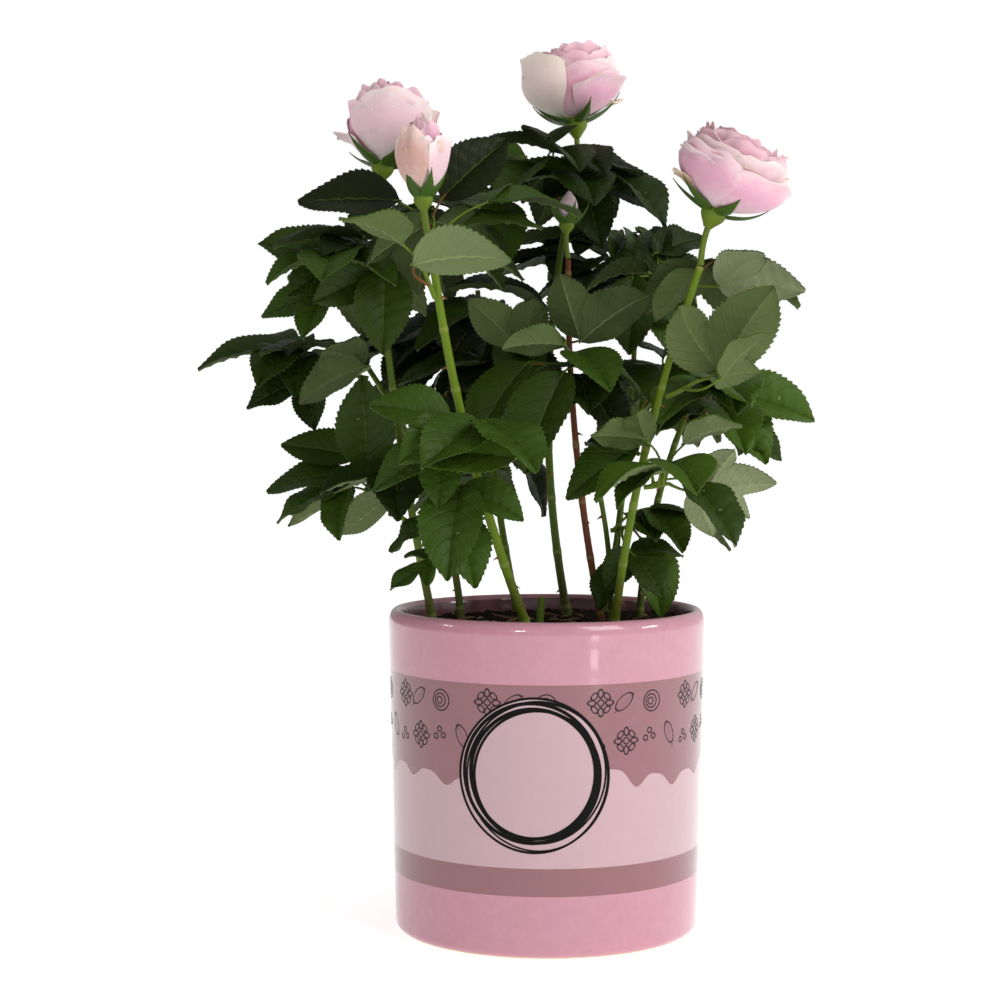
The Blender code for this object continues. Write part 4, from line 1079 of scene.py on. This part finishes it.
# Sepals of an open bloom and of a bud: curl and rise in degrees, and width as a share of length.
OPEN_SEPALS = ((-64, -20), (2, 17), 0.36)
BUD_SEPALS = ((-52, -34), (30, 44), 0.42)
SEPAL_COLUMNS = (-1.0, -0.5, 0.0, 0.5, 1.0)
SEPAL_THICK = 0.7 * MM
STALK_BARK, HIP_SKIN, SEPAL_INSIDE, SEPAL_OUTSIDE = range(4)
STALK_RINGS, HIP_RINGS = 12, 14


def bloom_axes(bloom):
    """Neck, axis, and the ways to the front and to the right across the axis."""
    axis = heading(bloom.bearing, 90 - bloom.lean)
    front = Vector((0, -1, 0))
    front = (front - axis * front.dot(axis)).normalized()
    return Vector(bloom.neck) * MM, axis, front, axis.cross(front)


def bloom_scale(bloom):
    """The size of hip and sepals on this bloom, as a share of that on a head of 22 mm radius."""
    return 0.55 + 0.45 * bloom.radius / SCALE_RADIUS


def petal_sheet(bloom, item, rng):
    """The middle surface of one petal as an array of points, rows from claw to rim."""
    u, v = np.meshgrid(np.linspace(0, 1, PETAL_ROWS) ** 0.8,
                       np.linspace(-1, 1, PETAL_COLUMNS), indexing="ij")
    radius, height = 0.95 * bloom.radius * MM, bloom.height * MM
    # The rim: lower at its corners, aslant, notched in the middle and nibbled.
    slant, notch = rng.uniform(-0.07, 0.07), rng.uniform(-0.03, 0.05)
    nibble = 0.012 * np.sin(8 * v + rng.uniform(0, 6)) + 0.009 * np.sin(14 * v + rng.uniform(0, 6))
    corners = 1 - 0.2 * np.abs(v) ** 2.6
    rise = u * (corners + slant * v - notch * np.exp(-(v / 0.22) ** 2) + nibble)
    # The cup: out from the hip to the belly, then in or out to the rim by how open the bloom is.
    place = np.clip(rise * item.height, 0, 1.1)
    belly = np.sin(math.pi / 2 * np.clip(place / HEAD_BELLY, 0, 1)) ** 0.85 * item.belly
    above = np.clip((place - HEAD_BELLY) / (1 - HEAD_BELLY), 0, 1.2) ** 1.5
    closed = 0.2 + 0.75 * bloom.openness
    wide = belly + (item.rim * closed - item.belly) * above
    # Round the head: narrow at the claw, at its full spread from half-way up.
    fan = 0.25 + 0.75 * np.sin(math.pi / 2 * np.clip(rise / 0.55, 0, 1))
    azimuth = math.radians(item.azimuth) + v * (math.radians(item.spread) * fan)
    # The rim rolls outward and down, in ruffles, with one side over the next petal.
    roll = np.clip((rise - 0.74) / 0.26, 0, 1)
    ruffle = item.ruffle * MM * np.clip(rise, 0, 1) ** 3
    first, second = rng.uniform(0, 6), rng.uniform(0, 6)
    out = (radius * wide + item.flare * MM * (roll ** 1.6 + 0.3 * np.abs(v) ** 4 * rise)
           + 0.03 * radius * v * rise)
    out = out + ruffle * (0.6 * np.sin(5.2 * v + first) + 0.4 * np.sin(9.1 * v + second))
    up = height * place ** 1.25 - 0.55 * item.flare * MM * roll ** 2.6
    up = up + ruffle * (0.3 * np.sin(6.3 * v + second) + 0.18 * np.sin(9.7 * v + first))
    neck, axis, front, right = (np.array(way) for way in bloom_axes(bloom))
    seat = HIP_LENGTH * bloom_scale(bloom) * HEAD_SEAT + 0.8 * MM
    ways = np.cos(azimuth)[..., None] * front + np.sin(azimuth)[..., None] * right
    return neck + axis * (seat + up)[..., None] + ways * np.maximum(out, 0.2 * MM)[..., None]


def add_petal(heap, bloom, item, rng):
    """One petal as a thin closed sheet, paler to its claw and rim, its edge creamy or browned."""
    middle = petal_sheet(bloom, item, rng)
    normal = np.cross(np.gradient(middle, axis=0), np.gradient(middle, axis=1))
    normal /= np.maximum(np.linalg.norm(normal, axis=2), 1e-9)[..., None]
    half = normal * (PETAL_THIN * min(1.0, 0.5 + bloom.radius / 40)) / 2
    u, v = np.meshgrid(np.linspace(0, 1, PETAL_ROWS - 1), np.linspace(-1, 1, PETAL_COLUMNS - 1),
                       indexing="ij")
    paler = ((np.abs(u - 0.52) / 0.5) ** 1.5 + 0.25 * np.abs(v) ** 3
             + 0.05 * np.sin(11 * v + rng.uniform(0, 6)))
    step = np.clip((paler * PETAL_STEPS).astype(int), 0, PETAL_STEPS - 1).ravel()
    look = item.shade * PETAL_STEPS + step
    edge = rng.choice(EDGE_SHADES) * PETAL_STEPS + PETAL_STEPS - 1
    heap.add_sheet(middle + half, middle - half, (look, look, edge))


def inner_petals(bloom, rng):
    """The whorls inside the outer petals, each a little higher and tighter than the last."""
    opened = bloom.openness > OPEN_FROM
    whorls, shades = (OPEN_WHORLS, OPEN_SHADES) if opened else (BUD_WHORLS, BUD_SHADES)
    made = []
    for layer, (count, belly, rim, height, flare, ruffle) in enumerate(whorls):
        for index in range(count):
            azimuth = 360 * (index + 0.5 * layer) / count + rng.uniform(-14, 14)
            shade = rng.choice(shades[min(layer, len(shades) - 1)])
            made.append(Petal(azimuth, 180 / count + OVERLAP, belly, rim,
                              height + rng.uniform(-0.05, 0.04), flare * rng.uniform(0.6, 1.3),
                              ruffle * rng.uniform(0.7, 1.3), shade))
    return made


def add_hip(heap, bloom):
    """The urn-shaped hip under the head, and the stalk from the cane's tip."""
    neck, axis = bloom_axes(bloom)[:2]
    limb = LIMBS[bloom.limb]
    tip = limb_point(limb, limb.tip[2])
    way = (tip - limb_point(limb, limb.tip[2] - 1)).normalized()
    start = tip + way * CLEARANCE * 1.5
    end = neck + axis * HIP_LENGTH * 0.4
    radii = [limb.tip_radius * MM * (0.95 - 0.1 * math.sin(math.pi * i / STALK_RINGS))
             for i in range(STALK_RINGS + 1)]
    heap.add_tube(arc_route(start, end - start, axis, STALK_RINGS), radii, 12, STALK_BARK)
    scale = bloom_scale(bloom)
    length, wide = HIP_LENGTH * scale, 1.1 * HIP_RADIUS * scale
    shares = [i / HIP_RINGS for i in range(HIP_RINGS + 1)]
    line = [neck + axis * length * (share * 1.05 - 0.05) for share in shares]
    radii = [wide * (0.36 + 0.66 * math.sin(math.pi / 2 * min(1.0, share / 0.62)) ** 1.4
                     - 0.2 * max(0.0, share - 0.7) / 0.3) for share in shares]
    heap.add_tube(line, radii, 20, HIP_SKIN)


def add_sepal(heap, bloom, index, rng):
    """A long pointed sepal with a drawn-out tip, curling away from the head."""
    neck, axis, front, right = bloom_axes(bloom)
    azimuth = math.tau * (index + SEPAL_TURN) / SEPALS
    out = front * math.cos(azimuth) + right * math.sin(azimuth)
    curls, rises, width = OPEN_SEPALS if bloom.openness > OPEN_FROM else BUD_SEPALS
    rise = math.radians(rng.uniform(*rises))
    forward = out * math.cos(rise) + axis * math.sin(rise)
    normal = axis * math.cos(rise) - out * math.sin(rise)
    scale = bloom_scale(bloom)
    base = neck + axis * (HIP_LENGTH * scale * 0.62) + out * (HIP_RADIUS * scale * 0.75)
    length = SEPAL_LENGTH * scale * rng.uniform(0.85, 1.05)
    blade = Blade(base, forward, normal, length, length * width,
                  math.radians(rng.uniform(*curls)), math.radians(18))
    rows = np.linspace(0, 1, 15)
    along, across = np.meshgrid(rows, SEPAL_COLUMNS, indexing="ij")
    outline = np.where(rows < 0.3, np.sin(math.pi / 2 * (rows + 0.06) / 0.36) ** 0.5,
                       (1 - (rows - 0.3) / 0.7) ** 1.25)
    half = np.maximum(outline, 0.03)[:, None] * across
    thick = SEPAL_THICK * (1 - 0.6 * along)
    heap.add_sheet(blade_points(blade, along, half, thick / 2),
                   blade_points(blade, along, half, -thick / 2),
                   (SEPAL_INSIDE, SEPAL_OUTSIDE, SEPAL_OUTSIDE))


def make_blooms():
    """All petals as one piece, and all stalks, hips and sepals as another."""
    petals, green = Heap(), Heap()
    for name, bloom in BLOOMS.items():
        rng = random.Random("petals of " + name)
        inside = inner_petals(bloom, rng) if bloom.openness else []
        for item in list(OUTER_PETALS[name]) + inside:
            add_petal(petals, bloom, item, rng)
        add_hip(green, bloom)
        for index in range(SEPALS):
            add_sepal(green, bloom, index, rng)
    looks = [petal(kind + " petal " + str(step + 1), between(heart, rim, step / (PETAL_STEPS - 1)))
             for kind, heart, rim in PETAL_LOOKS for step in range(PETAL_STEPS)]
    heads = petals.piece("petals", looks, 60)
    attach(heads, "root")
    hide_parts(*BLOOMS)
    greens = [bark("flower stalk", "#5f7026"), bark("green hip", "#637a22"),
              bark("sepal inside", "#537322"), bark("sepal outside", "#3f5a1c")]
    calyxes = green.piece("calyxes", greens, 50)
    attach(calyxes, "root")


# ---- pot and soil, modelled with mesh operators ----

POT_SIDES = 400
RIM_ROUND = (3.2 * MM, 5.5 * MM)
# Heights of the printed bands' edges in millimetres, from the top down.
PRINT_TOP, PRINT_BAND, PRINT_STRIPE, PRINT_FOOT = 112, 73, 37.5, 26
WALL_RINGS = (8, 14, 20, PRINT_FOOT, 31, PRINT_STRIPE, 48, 60, PRINT_BAND, 84, 98, PRINT_TOP,
              118, 124, 129)
INSIDE_RINGS = (132, 128, 122)
PLAIN_GLAZE, MAUVE_PRINT, PALE_PRINT, BARE_CLAY, SHADED_INSIDE_GLAZE = range(5)
# In millimetres: how far up the clay is bare, the radius that parts the outside from the inside,
# and how far under the rim the darker glaze inside the pot, which is painted shade, ends.
CLAY_TOP = 1.2
OUTSIDE_FROM = 63.6
INSIDE_SHADE_UNDER_RIM = 2
SCALLOPS = 20
SCALLOP_DROP = 3.6
SOIL_SIDES, SOIL_RINGS = 200, 46
SOIL_DEPTH = 6 * MM


def only(obj):
    """Selects one object and makes it the active one."""
    bpy.ops.object.select_all(action="DESELECT")
    obj.select_set(True)
    bpy.context.view_layer.objects.active = obj


def smoothed(obj, degrees):
    """Shades an object smooth, but for edges sharper than an angle."""
    only(obj)
    bpy.ops.object.shade_smooth_by_angle(angle=math.radians(degrees))


def raised(profile, sides, name):
    """A turned form: a circle drawn up ring by ring along a profile of (radius, height)."""
    radius, height = profile[0]
    bpy.ops.mesh.primitive_circle_add(vertices=sides, radius=radius, location=(0, 0, height),
                                      fill_type="NOTHING")
    obj = bpy.context.object
    obj.name = name
    bpy.ops.object.transform_apply(location=True, rotation=False, scale=False)
    bpy.ops.object.mode_set(mode="EDIT")
    bpy.ops.mesh.select_all(action="SELECT")
    for new_radius, new_height in profile[1:]:
        move = {"value": (0, 0, new_height - height)}
        bpy.ops.mesh.extrude_region_move(TRANSFORM_OT_translate=move)
        share = new_radius / radius
        bpy.ops.transform.resize(value=(share, share, 1), center_override=(0, 0, new_height))
        radius, height = new_radius, new_height
    bpy.ops.object.mode_set(mode="OBJECT")
    return obj


def pot_outer_radius(height):
    """The radius of the pot's outside at a height in metres."""
    return POT_FOOT_RADIUS + (POT_RIM_RADIUS - POT_FOOT_RADIUS) * height / POT_HEIGHT


def turns(first, last, steps):
    """Angles in radians from one to another in degrees, both included."""
    return [math.radians(first + (last - first) * step / steps) for step in range(steps + 1)]


def pot_rings():
    """Under the pot from its middle, round the foot, up the wall, over the lip and down inside."""
    under = [(r * MM, 0.0) for r in (2, 30, 55)] + [(58 * MM, 0.6 * MM), (60 * MM, 0.0)]
    middle = POT_FOOT_RADIUS - FOOT_ROUNDING
    foot = [(middle + FOOT_ROUNDING * math.cos(a), FOOT_ROUNDING + FOOT_ROUNDING * math.sin(a))
            for a in turns(-90, 0, 8)]
    wall = [(pot_outer_radius(h * MM), h * MM) for h in WALL_RINGS]
    wide, high = RIM_ROUND
    middle = POT_RIM_RADIUS - wide
    crest = [(middle + wide * math.cos(a), POT_HEIGHT - high * (1 - math.sin(a)))
             for a in turns(0, 90, 12)]
    inner = POT_WALL - wide
    crest += [(middle - inner * math.sin(a), POT_HEIGHT - 2 * inner * (1 - math.cos(a)))
              for a in turns(0, 90, 5)[1:]]
    inside = [(pot_outer_radius(h * MM) - POT_WALL, h * MM) for h in INSIDE_RINGS]
    return under + foot + wall + crest + inside


def scallop(azimuth):
    """How far the scalloped edge of the printed band lies above its lowest line, in millimetres."""
    wave = 1 - (0.5 + 0.5 * math.cos(SCALLOPS * azimuth + 1.2)) ** 1.8
    return (5.6 + 1.5 * math.sin(3 * azimuth + 1.0)) * wave + 1.5 * math.sin(5 * azimuth + 0.4)


def pot_look(x, y, z):
    """Which of the pot's materials a face at a place in millimetres has."""
    if z < CLAY_TOP:
        return BARE_CLAY
    if math.hypot(x, y) <= OUTSIDE_FROM:
        # Inside the pot, below the rim, the glaze is darker: painted shade.
        return SHADED_INSIDE_GLAZE if z < POT_HEIGHT / MM - INSIDE_SHADE_UNDER_RIM else PLAIN_GLAZE
    if PRINT_FOOT < z < PRINT_STRIPE or PRINT_BAND < z < PRINT_TOP:
        return MAUVE_PRINT
    return PALE_PRINT if PRINT_STRIPE < z < PRINT_BAND else PLAIN_GLAZE


def make_pot():
    """The glazed pot: its turned form, the scalloped edge of its print, and its coloured bands."""
    pot = raised(pot_rings(), POT_SIDES, "glazed_pot")
    for vert in pot.data.vertices:
        radius = math.hypot(vert.co.x, vert.co.y)
        if abs(vert.co.z - PRINT_BAND * MM) < 0.01 * MM and radius > POT_FOOT_RADIUS:
            azimuth = math.atan2(vert.co.x, -vert.co.y)
            height = (PRINT_BAND - SCALLOP_DROP + scallop(azimuth)) * MM
            share = pot_outer_radius(height) / radius
            vert.co = (vert.co.x * share, vert.co.y * share, height)
    # The last glaze is a darker pink for the inside of the pot: painted shade.
    for material in (glaze("pink glaze", "#c08897", "#b57c8b"),
                     glaze("printed mauve", "#8b5c62", "#84565c", 0.3),
                     glaze("printed pale pink", "#bd9da2", "#b6959a", 0.3), bare_clay(),
                     glaze("pink glaze darkened inside as painted shade", "#7d555e", "#6b4a50")):
        pot.data.materials.append(material)
    for polygon in pot.data.polygons:
        polygon.material_index = pot_look(*(polygon.center / MM))
    smoothed(pot, 50)
    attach(pot, "root")
    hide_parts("pot")
    return pot


def make_soil():
    """Potting soil: turned flat, then roughened into crumbs, and a little higher on the right."""
    top = pot_outer_radius(SOIL_TOP) - POT_WALL - CLEARANCE
    rings = [(top * (1 - i / SOIL_RINGS), SOIL_TOP) for i in range(SOIL_RINGS)]
    soil = raised([(top, SOIL_TOP - SOIL_DEPTH)] + rings, SOIL_SIDES, "soil_crumb")
    for vert in soil.data.vertices:
        if vert.co.z > SOIL_TOP - 1 * MM:
            lumps = noise.fractal(vert.co * 260, 0.7, 2.1, 5) * 1.6
            rough = lumps + noise.noise(vert.co * 900) * 0.7
            vert.co.z += (rough - 0.6 + SOIL_SLOPE * max(0.0, vert.co.x)) * MM
    soil.data.materials.append(moist_soil())
    smoothed(soil, 180)
    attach(soil, "root")
    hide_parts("soil")


# ---- the printed lines: flat rings and strokes, projected onto the pot's wall ----

# Drawings stand this far in front of the pot's axis until they are projected, in metres.
DRAWN_AT = -0.09
MOTIF_REPEATS = 9
FIRST_TURN = 22
LINE_LIFT, PLATE_LIFT, RING_LIFT = 0.05, 0.08, 0.16
MEDALLION = (-5.8, 75.6)
PLATE_RADIUS = 29.6
MEDALLION_STRETCH = 1.05
# The loops round the medallion: shift right and up, radius and width of line, in millimetres.
LOOPS = ((-0.7, 0.4, 24.3, 1.5), (1.0, -0.6, 24.9, 1.1), (-1.4, 0.7, 26.3, 1.4),
         (1.2, 1.0, 27.0, 0.8), (1.3, -0.7, 28.3, 0.7), (-0.3, -0.2, 29.4, 0.9))


def drawn_at(x, z):
    """A place of the drawing, given in millimetres, where it stands in front of the pot."""
    return x * MM, DRAWN_AT, z * MM


def flat_ring(radius, width, x, z, vertices=96, steps=1):
    """A flat ring standing in front of the pot: a circle drawn outwards by its width."""
    bpy.ops.mesh.primitive_circle_add(vertices=vertices, radius=radius * MM,
                                      location=drawn_at(x, z), rotation=(math.pi / 2, 0, 0),
                                      fill_type="NOTHING")
    ring = bpy.context.object
    bpy.ops.object.mode_set(mode="EDIT")
    bpy.ops.mesh.select_all(action="SELECT")
    for step in range(steps):
        bpy.ops.mesh.extrude_region_move()
        share = (radius + width * (step + 1) / steps) / (radius + width * step / steps)
        bpy.ops.transform.resize(value=(share, share, share), center_override=drawn_at(x, z))
    bpy.ops.object.mode_set(mode="OBJECT")
    return ring


def flat_oval(x, z, length, width, angle, line=0.8):
    """A flat outline of a petal or leaf: a ring stretched and turned in place."""
    ring = flat_ring(length / 2 - line, line, x, z, 24)
    only(ring)
    bpy.ops.transform.resize(value=(width / length, 1, 1), center_override=drawn_at(x, z))
    bpy.ops.transform.rotate(value=math.radians(angle), orient_axis="Y",
                             center_override=drawn_at(x, z))
    return ring


def joined(parts, name):
    """Joins parts into one object at the origin."""
    only(parts[0])
    for part in parts:
        part.select_set(True)
    bpy.ops.object.join()
    obj = bpy.context.object
    obj.name = name
    bpy.ops.object.transform_apply(location=True, rotation=True, scale=True)
    return obj


def projected(obj, pot, lift):
    """Lays a flat drawing on the pot's wall, lifted off it by so many millimetres."""
    only(obj)
    wrap = obj.modifiers.new("onto the wall", "SHRINKWRAP")
    wrap.target = pot
    wrap.wrap_method = "PROJECT"
    wrap.use_project_y = True
    wrap.use_negative_direction = False
    wrap.use_positive_direction = True
    wrap.offset = lift * MM
    bpy.ops.object.modifier_apply(modifier=wrap.name)
    return obj


def daisy(z):
    """A line drawing of a daisy: a ring and eight petals."""
    parts = [flat_ring(1.0, 0.6, 0.0, z, 20)]
    for angle in range(0, 360, 45):
        turn = math.radians(angle)
        parts.append(flat_oval(3.8 * math.sin(turn), z + 3.8 * math.cos(turn), 4.2, 2.6, angle))
    return parts


def right_leaf(z, angle=24):
    """A line drawing of one leaf with its midrib."""
    rib = flat_oval(0.0, z - 0.6, 12.4, 1.1, angle, 0.5)
    return [flat_oval(0.0, z, 10.4, 5.2, angle), rib]


def left_leaf(z):
    """The same leaf, leaning the other way."""
    return right_leaf(z, -50)


def dots(z):
    """Three small rings."""
    return [flat_ring(0.8, 0.6, dx, z + dz, 14) for dx, dz in ((-2.0, 0), (2.0, 0.6), (0, 3.0))]


def snail(z):
    """Three rings of growing size, one inside the other."""
    return [flat_ring(size, 0.55, size / 4, z, 28) for size in (1.1, 2.5, 4.0)]


# The motifs of the band: turn round the pot in degrees, height in millimetres, and drawing.
MOTIFS = ((0, 104.5, daisy), (10, 90, right_leaf), (20, 104, snail), (30, 88.5, daisy),
          (31, 104.5, left_leaf), (1, 86, dots), (20, 89, dots))


def print_lines(pot):
    """The band's motifs, each drawn once, projected, and set round the pot."""
    drawn = []
    for angle, height, draw in MOTIFS:
        model = projected(joined(draw(height), "motif"), pot, LINE_LIFT)
        for repeat in range(MOTIF_REPEATS):
            only(model)
            bpy.ops.object.duplicate(linked=False)
            copy = bpy.context.object
            turn = math.radians(angle + 360 / MOTIF_REPEATS * repeat + FIRST_TURN)
            bpy.ops.transform.rotate(value=turn, orient_axis="Z", center_override=(0, 0, 0))
            drawn.append(copy)
        bpy.data.objects.remove(model)
    return joined(drawn, "printed_lines")


def make_print(pot):
    """The printed motifs, and the plain medallion with its black loops."""
    lines = print_lines(pot)
    lines.data.materials.append(ink("dark printed line", "#2c1e24", 0.25))
    x, z = MEDALLION
    disc = flat_ring(0.02, PLATE_RADIUS, x, z, 96, 12)
    loops = [flat_ring(radius, width, x + dx, z + dz, 128) for dx, dz, radius, width in LOOPS]
    rings = joined(loops, "printed_rings")
    plate = joined([disc], "printed_medallion")
    for flat, lift in ((plate, PLATE_LIFT), (rings, RING_LIFT)):
        only(flat)
        bpy.ops.transform.resize(value=(1, 1, MEDALLION_STRETCH), center_override=drawn_at(x, z))
        bpy.ops.object.transform_apply(location=True, rotation=True, scale=True)
        projected(flat, pot, lift)
    plate.data.materials.append(glaze("printed pale disc", "#ba9ba1", "#b5959b", 0.3))
    rings.data.materials.append(ink("black printed ring", "#080708", 0.1))
    for obj in (lines, rings, plate):
        smoothed(obj, 180)
        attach(obj, "root")


# ---- floor, light and camera ----

FLOOR_SIZE = 14
# The white room is dimmer to the left: its strength there and to the right, and the ways
# between which it goes from one to the other.
ROOM_STRENGTH = (0.17, 0.62)
ROOM_SPAN = (-0.8, 0.5)
# Windows and lamps: place, the point they face, width and height in metres, and power in watts.
LIGHTS = (
    ("key window", (0.9, -0.9, 1.1), (0, 0, 0.2), (0.7, 0.8), 9.5),
    ("front lamp", (-0.48, -1.32, 0.7), (0, 0, 0.12), (0.16, 0.1), 1.7),
    ("left lamp", (-1.18, -0.2, 0.75), (0, 0, 0.12), (0.22, 0.05), 0.8),
    ("right window", (1.2, -0.2, 0.6), (0, 0, 0.12), (0.3, 0.1), 2.2),
    ("low window", (0.4, -0.64, 0.06), (0, 0, 0.12), (0.07, 0.11), 0.12),
)
CAMERA_PLACE = (-0.01985, -1.007, 0.234)
CAMERA_DIP = 2.9
LENS, SENSOR = 85, 36
CLIP = (0.05, 50)


def area_light(name, place, aim, size, power):
    """A white rectangular lamp that faces a point."""
    data = bpy.data.lights.new(name, "AREA")
    data.shape = "RECTANGLE"
    data.size, data.size_y = size
    data.energy = power
    light = bpy.data.objects.new(name, data)
    light.location = place
    light.rotation_euler = (Vector(aim) - Vector(place)).to_track_quat("-Z", "Y").to_euler()
    bpy.context.scene.collection.objects.link(light)


def make_floor():
    """A sheet of white studio paper for the part to stand on."""
    bpy.ops.mesh.primitive_plane_add(size=FLOOR_SIZE, location=(0, 0, 0))
    floor = bpy.context.object
    floor.name = "floor"
    floor.data.materials.append(paper())


def make_room():
    """A white room round the part, dimmer to the left, and plain white where the camera sees it."""
    world = bpy.data.worlds.new("white studio")
    bpy.context.scene.world = world
    world.use_nodes = True
    tree = world.node_tree
    place = node(tree, "TexCoord")
    parts = node(tree, "SeparateXYZ", Vector=place.outputs["Generated"])
    side = node(tree, "MapRange", Value=parts.outputs["X"], From_Min=ROOM_SPAN[0],
                From_Max=ROOM_SPAN[1], To_Min=ROOM_STRENGTH[0], To_Max=ROOM_STRENGTH[1])
    ray = node(tree, "LightPath")
    seen = node(tree, "Mix", {"data_type": "FLOAT"}, Factor=ray.outputs["Is Camera Ray"],
                _2=side.outputs[0], _3=1.0)
    background = tree.nodes["Background"]
    tree.links.new(seen.outputs[0], background.inputs["Strength"])
    background.inputs["Color"].default_value = linear("#ffffff")


def make_camera():
    """The camera in front of the part, a little above its middle and looking slightly down."""
    data = bpy.data.cameras.new("camera")
    data.lens, data.sensor_width = LENS, SENSOR
    data.clip_start, data.clip_end = CLIP
    camera = bpy.data.objects.new("camera", data)
    camera.location = CAMERA_PLACE
    camera.rotation_euler = (math.radians(90 - CAMERA_DIP), 0, 0)
    scene = bpy.context.scene
    scene.collection.objects.link(camera)
    scene.camera = camera
    scene.view_settings.view_transform = "Standard"
    scene.view_settings.look = "None"


make_foliage()
for cane_name in LIMBS:
    make_cane(cane_name)
make_blooms()
glazed_pot = make_pot()
make_soil()
make_print(glazed_pot)
make_floor()
make_room()
for light_row in LIGHTS:
    area_light(*light_row)
make_camera()
